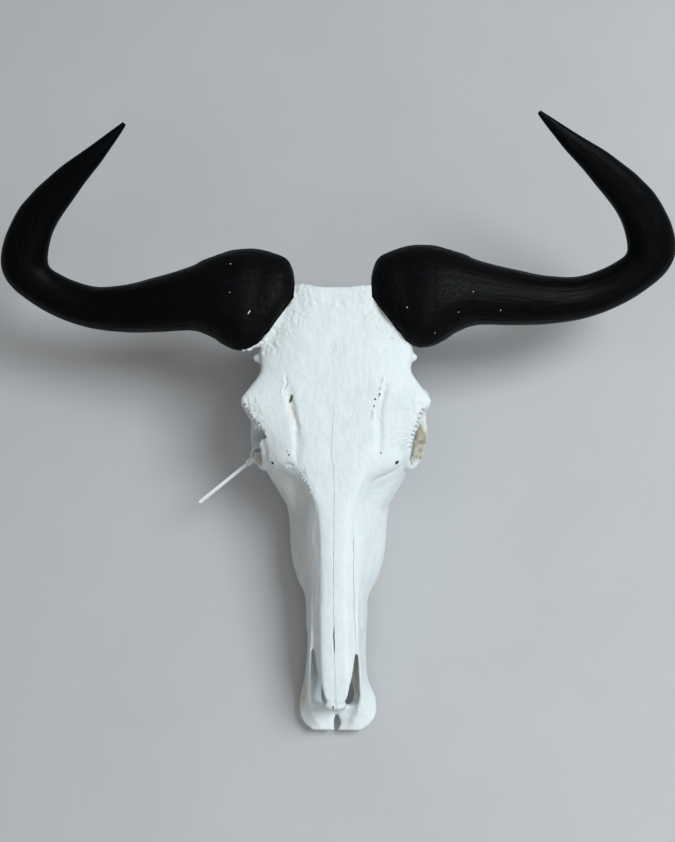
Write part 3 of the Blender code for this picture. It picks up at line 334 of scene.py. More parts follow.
# Details of the forehead, read from above: x and y
# Grooves: path, depth, half width towards the middle and away from it
GROOVES = (
    (((-46.5, 320.0), (-45.0, 306.0), (-41.5, 293.0), (-39.0, 280.0), (-38.0, 268.0), (-38.5, 256.0)),
     1.8, 3.4, 5.0),
    (((-45.0, 309.0), (-43.4, 304.0), (-41.4, 297.0), (-39.4, 290.0), (-38.0, 284.0)), 1.5, 1.5, 3.6),
    (((-49.8, 335.0), (-47.6, 328.5), (-49.8, 323.2), (-50.4, 318.9), (-47.3, 314.6)), 0.8, 0.9, 1.5),
    (((51.0, 324.0), (48.3, 314.0), (46.0, 303.0), (45.2, 290.0), (46.4, 277.0), (44.6, 262.0)),
     1.6, 2.8, 4.6),
    (((45.4, 315.0), (43.0, 308.0), (41.9, 301.0), (42.4, 293.0)), 0.8, 1.4, 3.0),
)
# Ridges: path, half width, height and how jagged they are
RIDGES = (
    (((-39.6, 316.0), (-38.0, 304.0), (-35.6, 292.0), (-34.0, 282.0)), 2.2, 0.6, 0.4),
    (((49.0, 332.0), (47.2, 323.0), (44.6, 314.0), (40.2, 304.0), (38.8, 294.0)), 1.6, 1.2, 1.0),
    (((-52.8, 334.0), (-51.2, 328.0), (-53.2, 322.0), (-52.8, 317.0), (-49.6, 312.0)), 1.2, 0.5, 0.6),
)
# Cuts: path, half width and depth
FURROWS = (
    (((-50.2, 335.0), (-47.9, 328.5), (-50.2, 323.2), (-50.8, 318.9), (-48.4, 315.2)), 0.5, 1.0),
    (((46.4, 324.0), (44.6, 320.2)), 0.4, 1.3),
    (((16.5, 291.4), (18.5, 298.7), (20.5, 302.1)), 0.14, 0.3),
    (((23.0, 301.1), (22.0, 296.0)), 0.12, 0.25),
    (((20.4, 183.0), (19.4, 176.0), (18.8, 166.0)), 0.5, 1.3),
    (((36.3, 211.4), (37.8, 205.1), (41.3, 208.0), (45.3, 204.2), (49.3, 209.0)), 0.12, 0.3),
)
# Suture along the middle, and its faint trace on the forehead
MIDDLE_LINE = ((-1.1, 301.0), (-2.0, 286.5), (-2.4, 272.0), (-3.0, 262.2), (-1.9, 252.5),
               (-0.6, 242.8), (-0.2, 232.0), (0.1, 214.0), (0.0, 190.0), (0.1, 160.0))
FAINT_LINE = ((-1.0, 368.0), (-1.5, 352.0), (-0.8, 334.0), (-1.2, 316.0), (-1.1, 303.5))
# Both of them: path, its points, how far it wanders, seed, half width and depth
SUTURES = ((MIDDLE_LINE, 180, 0.35, 11, 0.2, 1.0), (FAINT_LINE, 90, 0.4, 12, 0.11, 0.28))
# Small openings: x, y, half width, half length, depth, lean towards the middle
FORAMINA = (
    (-44.3, 313.2, 1.7, 4.6, 13.0, 0.1), (45.2, 316.6, 1.0, 1.5, 6.0, 0.0),
    (40.5, 311.9, 1.0, 1.2, 5.0, 0.0), (39.5, 305.3, 0.8, 1.4, 4.0, 0.0),
    (-63.7, 254.0, 2.3, 1.5, 9.0, 0.2), (62.6, 254.2, 2.4, 1.5, 9.0, -0.2),
    (-45.9, 258.5, 0.9, 1.1, 5.0, 0.0), (46.3, 260.8, 0.9, 1.0, 5.0, 0.0),
    (-47.6, 262.0, 0.6, 0.8, 3.0, 0.0), (-30.4, 333.0, 0.35, 0.4, 1.5, 0.0),
    (57.5, 373.0, 0.6, 0.6, 2.0, 0.0), (33.4, 393.0, 0.5, 0.5, 2.0, 0.0),
)
# Rims of the eye sockets: path, spacing of the notches, the ranges of their half width and length,
# their way in, their half height and how deep they lie under the rim
NOTCH_RUNS = (
    (((-95.0, 309.0), (-91.6, 303.4), (-88.0, 298.0), (-84.4, 293.4), (-80.4, 290.0), (-76.0, 288.8)),
     3.4, (0.8, 1.5), (4.5, 8.5), (0.86, 0.42, 0.0), 6.0, 3.0),
    (((91.0, 305.0), (87.6, 299.0), (84.8, 293.0), (82.2, 287.0), (80.0, 280.0), (78.0, 274.0),
      (76.0, 267.0)), 4.0, (0.9, 1.6), (3.0, 6.0), (-0.94, 0.22, 0.0), 5.5, 2.5),
)
NOTCH_FEEL = 3.0                  # the bone's height is felt this far inside the rim
# Splinters that stand out from the ragged edge over the snout and from the fringe under the right
# horn, in the same order
SPLINTER_RUNS = (
    (((-49.0, 250.0), (-42.0, 249.0), (-34.9, 244.4), (-28.8, 237.4), (-24.6, 230.4), (-21.5, 224.4),
      (-18.8, 215.0)), 2.3, (0.5, 0.75), (2.6, 5.2), (-0.66, -0.74, -0.14), 0.8, 0.7),
    (((-62.0, 382.0), (-68.0, 374.5), (-76.0, 368.0), (-86.0, 363.6), (-95.0, 362.6)),
     2.3, (0.4, 0.7), (2.0, 3.8), (-0.45, -0.88, -0.1), 0.8, 0.9),
)
# Cross-sections of a spike: share of its length and of its width
SPIKE_SIDES = 14
SPIKE_STEPS = ((-0.35, 1.25), (0.0, 1.0), (0.55, 0.8), (1.0, 0.3))
# The broken edge that opens the right eye socket from above: its outline and the heights of the cut
BREACH = ((-100.0, 279.0), (-92.0, 291.0), (-83.2, 288.6), (-79.8, 290.6), (-77.4, 287.8), (-75.6, 289.4),
          (-73.0, 285.2), (-70.6, 284.2), (-70.8, 280.6), (-68.4, 278.0), (-71.4, 276.4), (-74.6, 277.4),
          (-76.0, 274.6), (-79.8, 275.2), (-84.0, 272.0))
BREACH_HEIGHTS = (99.0, 150.0)
# Ragged lower edge of the forehead over the right side of the snout, and its height
STEP_EDGE = ((-72.0, 251.0), (-64.0, 249.0), (-56.0, 251.0), (-46.0, 252.0), (-40.0, 247.5), (-35.0, 242.0),
             (-29.0, 233.0), (-23.0, 224.0), (-21.0, 214.0))
STEP_HEIGHT = 1.3
# Lumps on the poll: x, y, height and radius
POLL_LUMPS = ((-0.5, 404.6, 1.0, 3.0), (-15.3, 409.6, 0.8, 3.6), (10.0, 406.5, 0.8, 3.2),
              (-7.0, 407.0, 0.6, 2.4), (4.6, 401.0, 0.5, 2.2), (-22.0, 405.0, 0.6, 3.0))
# Brown stains: centre, radii, strength and the way that the stained side faces. The rows that face -X, away
# from the window light, on the right flank of the snout and on the walls of the front bones, are painted
# shade as well as stain.
STAINS_AND_SHADE = (
    ((86.0, 290.0, 74.0), (15.0, 33.0, 26.0), 0.75, (-0.1, 0.0, 1.0)),
    ((75.0, 262.0, 96.0), (7.0, 7.0, 14.0), 0.9, (0.0, 0.5, 0.8)),
    ((-84.0, 270.0, 90.0), (12.0, 14.0, 22.0), 0.5, (0.0, 0.6, 0.8)),
    ((26.0, 52.0, 46.0), (14.0, 44.0, 38.0), 0.55, (-1.0, 0.0, 0.0)),
    ((-34.0, 42.0, 26.0), (7.0, 30.0, 20.0), 0.5, (-1.0, 0.0, 0.3)),
    ((11.0, 9.0, 16.0), (4.5, 6.0, 8.0), 0.4, (0.0, 0.0, 1.0)),
    ((-42.0, 190.0, 70.0), (34.0, 130.0, 70.0), 0.24, (-1.0, -0.2, 0.0)),
    ((-43.0, 300.0, 140.0), (5.5, 18.0, 12.0), 0.30, (0.4, 0.0, 1.0)),
    ((44.0, 296.0, 140.0), (4.0, 16.0, 12.0), 0.14, (-0.4, 0.0, 1.0)),
)
# Hollow between the cheek and the forehead that is filled out again: its path, half width and height
CHEEK_FILL = (((33.0, 237.0), (47.2, 242.8), (55.3, 247.9), (64.0, 253.5)), 4.0, 1.7)
# White fringe of bone under the right horn: x, y, z, half width and half height
FRINGE = ((-62.0, 384.0, 150.0, 3.0, 4.6), (-73.0, 372.5, 150.0, 2.8, 3.8),
          (-84.0, 366.5, 147.5, 2.5, 3.2), (-96.0, 364.5, 144.0, 1.8, 2.2))

# Skin of the bones
# Unevenness all over: height, size of the lumps and the seed of their pattern
UNEVEN = ((0.24, 15.0, 1), (0.12, 6.0, 2), (0.05, 2.8, 3))
UPWARDS = (0.2, 0.7)              # upward parts of a normal between which a surface counts as a top
DOWNWARDS = (-0.3, -0.9)          # and those of an underside
# Limits of a region: axis, where it begins and where it is full. The cheek's and the rims' regions
# lie on both sides
STEP_LIMITS = ((Y, 212.0, 222.0), (Z, 80.0, 90.0))
FRINGE_LIMITS = ((X, -56.0, -62.0), (Y, 390.0, 382.0), (Y, 357.0, 361.0), (Z, 136.0, 141.0))
HORN_EDGE_LIMITS = ((Z, 138.0, 146.0),)
CHEEK_FILL_LIMITS = ((Z, 88.0, 94.0), (Z, 112.0, 104.0))
RIM_LIMITS = ((X, 66.0, 78.0), (Y, 326.0, 312.0), (Y, 252.0, 262.0))
WORN_RIM_LIMITS = ((X, 60.0, 74.0), (Y, 322.0, 308.0), (Y, 248.0, 256.0))
POLL_LIMITS = ((Y, 385.0, 415.0),)
WORN_POLL_LIMITS = ((Y, 380.0, 414.0),)
FRONT_LIMITS = ((Y, 34.0, 22.0),)
SHELF_LIMITS = ((Y, 27.0, 22.0), (Z, 52.0, 60.0))
CREST_LIMITS = ((Y, 404.0, 424.0), (Z, 110.0, 165.0))
RIGHT_CREST = ((X, -12.0, -38.0),)
LEFT_CREST = ((X, 12.0, 36.0),)
RIGHT_CREST_BACK = 4.5            # the crest beside the poll stands this much further back on the right
LEFT_CREST_BACK = 2.2             # and this much on the left
# Porous patch beside the left eye socket, seen from above, and its stain: centre and radii
POROUS_PLACE = ((68.0, 276.5), (7.0, 6.5))
POROUS_STAIN = ((68.0, 276.0), (8.0, 8.0))
# Shelter of a point: ways that are felt beside its normal, where the feeling starts, how far it goes,
# and the distance at which a hit would count for nothing
LEANS = ((0, 0, 0), (0.9, 0, 0), (-0.9, 0, 0), (0, 0.9, 0), (0, -0.9, 0), (0, 0, 0.9), (0, 0, -0.9))
SHELTER_START = 5.0
SHELTER_REACH = 45.0
SHELTER_FADE = 60.0
HOLLOW_ROUNDS = 10                # the skin is evened out this often to find its hollows

# Camera: what it looks at, focal length in pixels, distance in millimetres, tilt from straight down
# and turn to the side
CAMERA_TARGET = Vector((3.0, 290.4, 138.4))
CAMERA_FOCUS = 1200.0
CAMERA_DISTANCE = 1200.0
CAMERA_TILT = math.radians(19.5)
CAMERA_TURN = math.radians(3.0)
PICTURE_SIZE = (675, 842)
SENSOR = 36.0
FLOOR_SIZE = 12.0
# Lights, in metres: name, place, what it shines on, size, share of the key light's power, colour
LIGHTS = (
    ("window", (1.9, 0.2, 3.0), (0.0, 0.0, 0.1), 1.6, 1.0, (0.89, 0.97, 1.0)),
    ("ceiling", (-0.2, -0.4, 2.6), (0.0, 0.0, 0.0), 2.0, 0.05, (0.96, 0.98, 1.0)),
    ("table", (0.4, -1.5, 1.15), (0.0, -0.2, 0.05), 0.9, 0.045, (1.0, 0.99, 0.97)),
)
ROOM_LIGHT = (1.0, 0.985, 0.96, 1.0)


class BoneSettings(bpy.types.PropertyGroup):
    """Sizes and colours of the bones and teeth."""

    fineness: bpy.props.FloatProperty(
        name="Fineness", description="Size of the smallest form in the bones",
        default=0.0012, min=0.0008, max=0.004, precision=4, unit="LENGTH")
    seam: bpy.props.FloatProperty(
        name="Seam", description="Gap between two bones that meet in a suture",
        default=0.00006, min=0.00005, max=0.001, precision=5, unit="LENGTH")
    waviness: bpy.props.FloatProperty(
        name="Waviness", description="How far a suture wanders to either side",
        default=0.0014, min=0.0, max=0.004, precision=4, unit="LENGTH")
    white: bpy.props.FloatVectorProperty(
        name="Bleached white", description="Colour of the open surfaces",
        default=(0.795, 0.845, 0.866), subtype="COLOR", min=0.0, max=1.0)
    # Cream is also painted as shade on the sheltered surfaces.
    cream: bpy.props.FloatVectorProperty(
        name="Cream", description="Colour of the rough and sheltered surfaces",
        default=(0.66, 0.61, 0.49), subtype="COLOR", min=0.0, max=1.0)
    # Brown is also painted as shade deep in the hollows.
    brown: bpy.props.FloatVectorProperty(
        name="Brown", description="Colour deep in the hollows",
        default=(0.20, 0.135, 0.075), subtype="COLOR", min=0.0, max=1.0)
    enamel: bpy.props.FloatVectorProperty(
        name="Enamel", description="Colour of the teeth",
        default=(0.62, 0.55, 0.40), subtype="COLOR", min=0.0, max=1.0)


class HornSettings(bpy.types.PropertyGroup):
    """Sizes and colours of the horns."""

    fibre: bpy.props.FloatProperty(
        name="Fibre depth", description="Depth of the long grooves in the horn",
        default=0.00022, min=0.0, max=0.002, precision=5, unit="LENGTH")
    swell: bpy.props.FloatProperty(
        name="Swell", description="Height of the rings and lumps near the base",
        default=0.0006, min=0.0, max=0.004, precision=4, unit="LENGTH")
    black: bpy.props.FloatVectorProperty(
        name="Black", description="Colour of the horns",
        default=(0.0010, 0.0012, 0.0015), subtype="COLOR", min=0.0, max=1.0)
    worn: bpy.props.FloatVectorProperty(
        name="Worn", description="Colour of the rubbed fibres",
        default=(0.0034, 0.0042, 0.0055), subtype="COLOR", min=0.0, max=1.0)


class TieSettings(bpy.types.PropertyGroup):
    """Sizes and colour of the cable tie."""

    groove: bpy.props.FloatProperty(
        name="Groove", description="Depth of the channel along the strap",
        default=0.00035, min=0.0, max=0.0008, precision=5, unit="LENGTH")
    nylon: bpy.props.FloatVectorProperty(
        name="Nylon", description="Colour of the tie",
        default=(0.80, 0.83, 0.84), subtype="COLOR", min=0.0, max=1.0)


class StageSettings(bpy.types.PropertyGroup):
    """Floor and lights."""

    floor: bpy.props.FloatVectorProperty(
        name="Floor", description="Colour of the floor",
        default=(0.53, 0.535, 0.55), subtype="COLOR", min=0.0, max=1.0)
    key: bpy.props.FloatProperty(
        name="Key light", description="Power of the window light from the right, in watts",
        default=98.0, min=0.0, max=500.0)
    fill: bpy.props.FloatProperty(
        name="Fill light", description="Strength of the light from all round",
        default=0.235, min=0.0, max=5.0)


# Points and curves
def top_line(y):
    """Height of the forehead line at y."""
    return NOSE_TOP + math.tan(SLOPE) * y


def on_line(x, s, w):
    """The point s along the forehead line, x to the side and w above it."""
    return NOSE + ALONG * s + ABOVE * w + Vector((x, 0.0, 0.0))


def around(rows, k, closed):
    """The four rows that shape the span after row k."""
    total = len(rows)
    if closed:
        return [rows[(k + j) % total] for j in (-1, 0, 1, 2)]
    return [rows[min(max(k + j, 0), total - 1)] for j in (-1, 0, 1, 2)]


def between(a, b, c, d, t):
    """The value at t from b to c, on the smooth curve through four values."""
    return 0.5 * (2 * b + (c - a) * t + (2 * a - 5 * b + 4 * c - d) * t * t
                  + (3 * b - a - 3 * c + d) * t ** 3)


def spline(points, count, closed=False):
    """Points spread evenly along a smooth curve through the given points."""
    points = [Vector(p) for p in points]
    spans = len(points) if closed else len(points) - 1
    fine = [between(*around(points, k, closed), step / CURVE_STEPS)
            for k in range(spans) for step in range(CURVE_STEPS)]
    fine.append(points[0] if closed else points[-1])
    lengths = [0.0]
    for one, two in zip(fine, fine[1:]):
        lengths.append(lengths[-1] + (two - one).length)
    result = []
    place = 0
    for k in range(count):
        goal = lengths[-1] * k / (count if closed else count - 1)
        while place < len(lengths) - 2 and lengths[place + 1] < goal:
            place += 1
        span = lengths[place + 1] - lengths[place]
        share = (goal - lengths[place]) / span if span > 1e-9 else 0.0
        result.append(fine[place].lerp(fine[place + 1], min(max(share, 0.0), 1.0)))
    return result


def level_spline(path, count, closed=False):
    """Points spread evenly along a smooth path of x and y seen from above."""
    return spline([(x, y, 0.0) for x, y in path], count, closed)


def smooth_rows(rows, per_span):
    """More rows of numbers between the given ones, along a smooth curve."""
    result = [tuple(between(*values, step / per_span) for values in zip(*around(rows, k, False)))
              for k in range(len(rows) - 1) for step in range(per_span)]
    result.append(tuple(rows[-1]))
    return result


def oval(centre, first, second, half_first, half_second, sides, square=2.0):
    """A ring round a centre; square over 2 flattens its sides."""
    ring = []
    for k in range(sides):
        turn = 2 * math.pi * k / sides
        c, s = math.cos(turn), math.sin(turn)
        a = math.copysign(abs(c) ** (2 / square), c) * half_first
        b = math.copysign(abs(s) ** (2 / square), s) * half_second
        ring.append(Vector(centre) + first * a + second * b)
    return ring


def grain(points, size, seed):
    """Smooth lumps from -1 to 1 at an array of points; size is one number or one for each axis."""
    place = points / np.asarray(size, float) + seed * SEED_SHIFT
    cell = np.floor(place).astype(np.int64)
    share = place - cell
    share = share * share * (3 - 2 * share)
    total = np.zeros(len(points))
    for corner in range(8):
        step = np.array([(corner >> k) & 1 for k in range(3)])
        x, y, z = (cell + step).T
        mixed = (x * SCATTER[X]) ^ (y * SCATTER[Y]) ^ (z * SCATTER[Z])
        mixed = (mixed ^ (mixed >> 13)) * SCATTER_AGAIN
        mixed = (mixed ^ (mixed >> 16)) & 0xFFFF
        total += (mixed / 32767.5 - 1) * np.prod(np.where(step, share, 1 - share), axis=1)
    return total


def rumple(points, *layers):
    """Lumps of several sizes added up: the height, size and seed of each layer."""
    return sum(height * grain(points, size, seed) for height, size, seed in layers)


def ramp(values, low, high):
    """Values from 0 at low to 1 at high, eased at both ends."""
    t = np.clip((values - low) / (high - low), 0.0, 1.0)
    return t * t * (3 - 2 * t)


def bell(away, half):
    """A hump that is 1 where away is 0 and a third at half."""
    return np.exp(-(away / half) ** 2)


def patch(points, centre, radii):
    """A soft oval patch seen from above."""
    off = (points[:, :2] - np.array(centre)) / np.array(radii)
    return np.exp(-off[:, X] ** 2 - off[:, Y] ** 2)


def within(points, limits, value=1.0):
    """A value that fades out beyond the limits of a region."""
    for axis, gone, full in limits:
        value = value * ramp(points[:, axis], gone, full)
    return value


def from_horns(points):
    """Distance of points from the root of the nearer horn."""
    x, s, w = HORN_ROOT
    return np.min([np.linalg.norm(points - np.array(on_line(side * x, s, w)), axis=1)
                   for side, _ in SIDES], axis=0)


def from_path(points, path):
    """Distance of points from a path of x and y seen from above, and on which side they lie."""
    best = np.full(len(points), 1e9)
    side = np.zeros(len(points))
    for (ax, ay), (bx, by) in zip(path, path[1:]):
        off = points[:, :2] - np.array((ax, ay))
        run = np.array((bx - ax, by - ay))
        t = np.clip((off @ run) / (run @ run), 0.0, 1.0)
        away = np.linalg.norm(off - t[:, None] * run, axis=1)
        nearer = away < best
        side[nearer] = np.sign(run[0] * off[:, 1] - run[1] * off[:, 0])[nearer]
        best = np.minimum(best, away)
    return best, side


# Working with pieces
def pick(*items):
    """Select these pieces alone; the first one is active."""
    bpy.ops.object.select_all(action="DESELECT")
    for item in items:
        item.select_set(True)
    bpy.context.view_layer.objects.active = items[0]


def fix(item):
    """Apply the modifiers of a piece."""
    pick(item)
    for modifier in list(item.modifiers):
        bpy.ops.object.modifier_apply(modifier=modifier.name)


def remove(item):
    """Take a piece away."""
    pick(item)
    bpy.ops.object.delete()


def copy_of(item, name):
    """A copy of a piece with its own mesh."""
    pick(item)
    bpy.ops.object.duplicate()
    result = bpy.context.object
    result.name = name
    return result


def vectors(collection, key):
    """Three numbers for each member of a collection, as an array."""
    data = np.empty(len(collection) * 3, np.float32)
    collection.foreach_get(key, data)
    return data.reshape(-1, 3)


def coords(item):
    """The points of a piece as an array."""
    return vectors(item.data.vertices, "co").astype(float)


def facing(item):
    """The way each point of a piece faces, as an array."""
    return vectors(item.data.vertex_normals, "vector").astype(float)


def put(item, points):
    """Move the points of a piece."""
    item.data.vertices.foreach_set("co", points.astype(np.float32).ravel())
    item.data.update()


def paint(item, name, values):
    """Keep a number for each point of a piece, for its material."""
    layer = item.data.attributes.get(name) or item.data.attributes.new(name, "FLOAT", "POINT")
    layer.data.foreach_set("value", values.astype(np.float32))


def lay(item, places):
    """Keep for each point, for its material, where it lies across and along the piece."""
    layer = item.data.attributes.new("lie", "FLOAT_VECTOR", "POINT")
    layer.data.foreach_set("vector", (places * MM).astype(np.float32).ravel())


def skin(name, rings, closed=False):
    """A form pulled from its first cross-section through all the others."""
    count = len(rings[0])
    bpy.ops.object.select_all(action="DESELECT")
    bpy.ops.mesh.primitive_circle_add(vertices=count, radius=1.0)
    item = bpy.context.object
    item.name = name
    bpy.ops.object.mode_set(mode="EDIT")
    mesh = bmesh.from_edit_mesh(item.data)
    mesh.verts.ensure_lookup_table()
    row = list(range(count))
    for k, point in zip(row, rings[0]):
        mesh.verts[k].co = point
    for ring in rings[1:]:
        bpy.ops.mesh.extrude_region_move()
        mesh = bmesh.from_edit_mesh(item.data)
        mesh.verts.index_update()
        mesh.verts.ensure_lookup_table()
        fresh = []
        for k, point in zip(row, ring):
            vert = mesh.verts[k]
            pulled = next(o for o in (e.other_vert(vert) for e in vert.link_edges) if o.select)
            pulled.co = point
            fresh.append(pulled.index)
        row = fresh
    if not closed:
        bpy.ops.mesh.edge_face_add()
        bpy.ops.mesh.select_all(action="DESELECT")
    mesh = bmesh.from_edit_mesh(item.data)
    mesh.verts.ensure_lookup_table()
    for k in range(count):
        mesh.verts[k].select = True
    mesh.select_flush(True)
    if closed:
        bpy.ops.mesh.bridge_edge_loops()
    else:
        bpy.ops.mesh.edge_face_add()
    bpy.ops.mesh.select_all(action="SELECT")
    bpy.ops.mesh.normals_make_consistent(inside=False)
    bpy.ops.object.mode_set(mode="OBJECT")
    return item


def bar(name, stations, sides=20, count=36, up=Vector((0, 0, 1)), closed=False):
    """A rounded bar through stations of x, y, z, half width and half height."""
    path = spline([s[:3] for s in stations], count, closed)
    sizes = spline([(s[3], s[4], 0.0) for s in stations], count, closed)
    rings = []
    for k, point in enumerate(path):
        if closed:
            ahead, behind = path[(k + 1) % count], path[k - 1]
        else:
            ahead, behind = path[min(k + 1, count - 1)], path[max(k - 1, 0)]
        run = (ahead - behind).normalized()
        side = run.cross(up).normalized()
        top = side.cross(run).normalized()
        rings.append(oval(point, side, top, sizes[k].x, sizes[k].y, sides))
    return skin(name, rings, closed)


def ball(name, centre, radii, turn=0.0):
    """A round lump, turned about X."""
    bpy.ops.object.select_all(action="DESELECT")
    bpy.ops.mesh.primitive_uv_sphere_add(segments=32, ring_count=20, radius=1.0, location=centre,
                                         rotation=(turn, 0.0, 0.0))
    item = bpy.context.object
    item.name = name
    item.scale = radii
    bpy.ops.object.transform_apply(location=True, rotation=True, scale=True)
    return item


def hull(name, points):
    """The convex block round some corner points."""
    mesh = bpy.data.meshes.new(name)
    mesh.from_pydata([tuple(p) for p in points], [], [])
    item = bpy.data.objects.new(name, mesh)
    bpy.context.scene.collection.objects.link(item)
    pick(item)
    bpy.ops.object.mode_set(mode="EDIT")
    bpy.ops.mesh.select_all(action="SELECT")
    bpy.ops.mesh.convex_hull()
    bpy.ops.mesh.normals_make_consistent(inside=False)
    bpy.ops.object.mode_set(mode="OBJECT")
    return item


def join(items, name):
    """Make one piece of several."""
    pick(*items)
    if len(items) > 1:
        bpy.ops.object.join()
    items[0].name = name
    return items[0]


def blend(item, size):
    """Make one even skin round overlapping forms."""
    modifier = item.modifiers.new("blend", "REMESH")
    modifier.mode = "VOXEL"
    modifier.voxel_size = size
    fix(item)


def soften(item, times):
    """Smooth a piece."""
    modifier = item.modifiers.new("soften", "SMOOTH")
    modifier.factor = 0.5
    modifier.iterations = times
    fix(item)


def carve(item, tool, operation="DIFFERENCE", keep=False):
    """Cut a piece with a tool, or keep or add what the two share."""
    modifier = item.modifiers.new(operation.lower(), "BOOLEAN")
    modifier.operation = operation
    modifier.solver = "MANIFOLD"
    modifier.object = tool
    fix(item)
    if not keep:
        remove(tool)


def swell(item, distance):
    """Move the skin of a piece outwards."""
    put(item, coords(item) + facing(item) * distance)


def keep_largest(item):
    """Drop every loose scrap but the largest closed surface."""
    pick(item)
    name = item.name
    bpy.ops.object.mode_set(mode="EDIT")
    bpy.ops.mesh.select_all(action="SELECT")
    bpy.ops.mesh.separate(type="LOOSE")
    bpy.ops.object.mode_set(mode="OBJECT")
    found = sorted(bpy.context.selected_objects, key=lambda o: len(o.data.polygons))
    for scrap in found[:-1]:
        remove(scrap)
    found[-1].name = name
    found[-1].data.name = name
    return found[-1]


def finish(item, look, slot, *nodes):
    """Bring a piece into the frame, give it its material and let it stand for its solids."""
    pick(item)
    item.data.transform(Matrix.Translation(MOVE) @ Matrix.Scale(MM, 4))
    item.data.materials.clear()
    item.data.materials.append(look)
    bpy.ops.object.shade_smooth_by_angle(angle=SMOOTH_ANGLE)
    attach(item, "root")
    if nodes:
        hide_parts(*nodes)


# Materials
class Recipe:
    """A material's nodes, added one after another."""

    def __init__(self, name):
        self.material = bpy.data.materials.new(name)
        self.material.use_nodes = True
        self.tree = self.material.node_tree
        self.shader = self.tree.nodes["Principled BSDF"]
        self.place = self.add("ShaderNodeTexCoord").outputs["Object"]

    def add(self, kind, **settings):
        """A new node with its settings."""
        node = self.tree.nodes.new(kind)
        for key, value in settings.items():
            setattr(node, key, value)
        return node

    def link(self, source, target):
        """Join an output to an input."""
        self.tree.links.new(source, target)

    def stretch(self, scale, source=None):
        """Coordinates scaled by three numbers."""
        node = self.add("ShaderNodeMapping")
        node.inputs["Scale"].default_value = scale
        self.link(source or self.place, node.inputs["Vector"])
        return node.outputs["Vector"]

    def noise(self, scale, detail=3.0, rough=0.5, source=None):
        """A soft random pattern."""
        node = self.add("ShaderNodeTexNoise")
        node.inputs["Scale"].default_value = scale
        node.inputs["Detail"].default_value = detail
        node.inputs["Roughness"].default_value = rough
        self.link(source or self.place, node.inputs["Vector"])
        return node.outputs["Fac"]

    def cells(self, scale):
        """A pattern of cells."""
        node = self.add("ShaderNodeTexVoronoi", feature="F1")
        node.inputs["Scale"].default_value = scale
        self.link(self.place, node.inputs["Vector"])
        return node.outputs["Distance"]

    def painted(self, name, output="Fac"):
        """What is kept at each point of the piece."""
        return self.add("ShaderNodeAttribute", attribute_name=name).outputs[output]

    def spread(self, source, low, high, bottom=0.0, top=1.0):
        """A value spread from one range to another."""
        node = self.add("ShaderNodeMapRange")
        for key, value in (("From Min", low), ("From Max", high), ("To Min", bottom), ("To Max", top)):
            node.inputs[key].default_value = value
        self.link(source, node.inputs["Value"])
        return node.outputs["Result"]

    def maths(self, operation, first, second):
        """Two values combined."""
        node = self.add("ShaderNodeMath", operation=operation)
        for socket, value in zip(node.inputs, (first, second)):
            if isinstance(value, (int, float)):
                socket.default_value = value
            else:
                self.link(value, socket)
        return node.outputs["Value"]

    def mix(self, share, first, second):
        """Two colours mixed by a share."""
        node = self.add("ShaderNodeMix", data_type="RGBA")
        colours = [s for s in node.inputs if s.type == "RGBA"]
        self.link(share, node.inputs["Factor"])
        for socket, value in zip(colours, (first, second)):
            if isinstance(value, (tuple, list)) or hasattr(value, "r"):
                socket.default_value = (*value[:3], 1.0)
            else:
                self.link(value, socket)
        return next(s for s in node.outputs if s.type == "RGBA")

    def bump(self, height, strength, distance, after=None):
        """Fine relief from a height pattern."""
        node = self.add("ShaderNodeBump")
        node.inputs["Strength"].default_value = strength
        node.inputs["Distance"].default_value = distance
        self.link(height, node.inputs["Height"])
        if after:
            self.link(after, node.inputs["Normal"])
        return node.outputs["Normal"]

    def surface(self, colour, roughness, relief):
        """Give the shader its colour, roughness and relief."""
        self.link(colour, self.shader.inputs["Base Color"])
        self.link(roughness, self.shader.inputs["Roughness"])
        self.link(relief, self.shader.inputs["Normal"])

    def relief(self, *layers):
        """Fine relief of several layers: height pattern, strength and depth."""
        result = None
        for height, strength, distance in layers:
            result = self.bump(height, strength, distance, result)
        return result

    def set(self, **values):
        """Numbers on the shader's own sockets."""
        for key, value in values.items():
            self.shader.inputs[key.replace("_", " ")].default_value = value


def shade(colour, share):
    """A darker or lighter shade of a colour; share is one number or one for each part."""
    shares = share if isinstance(share, tuple) else (share,) * 3
    return tuple(c * k for c, k in zip(colour, shares))


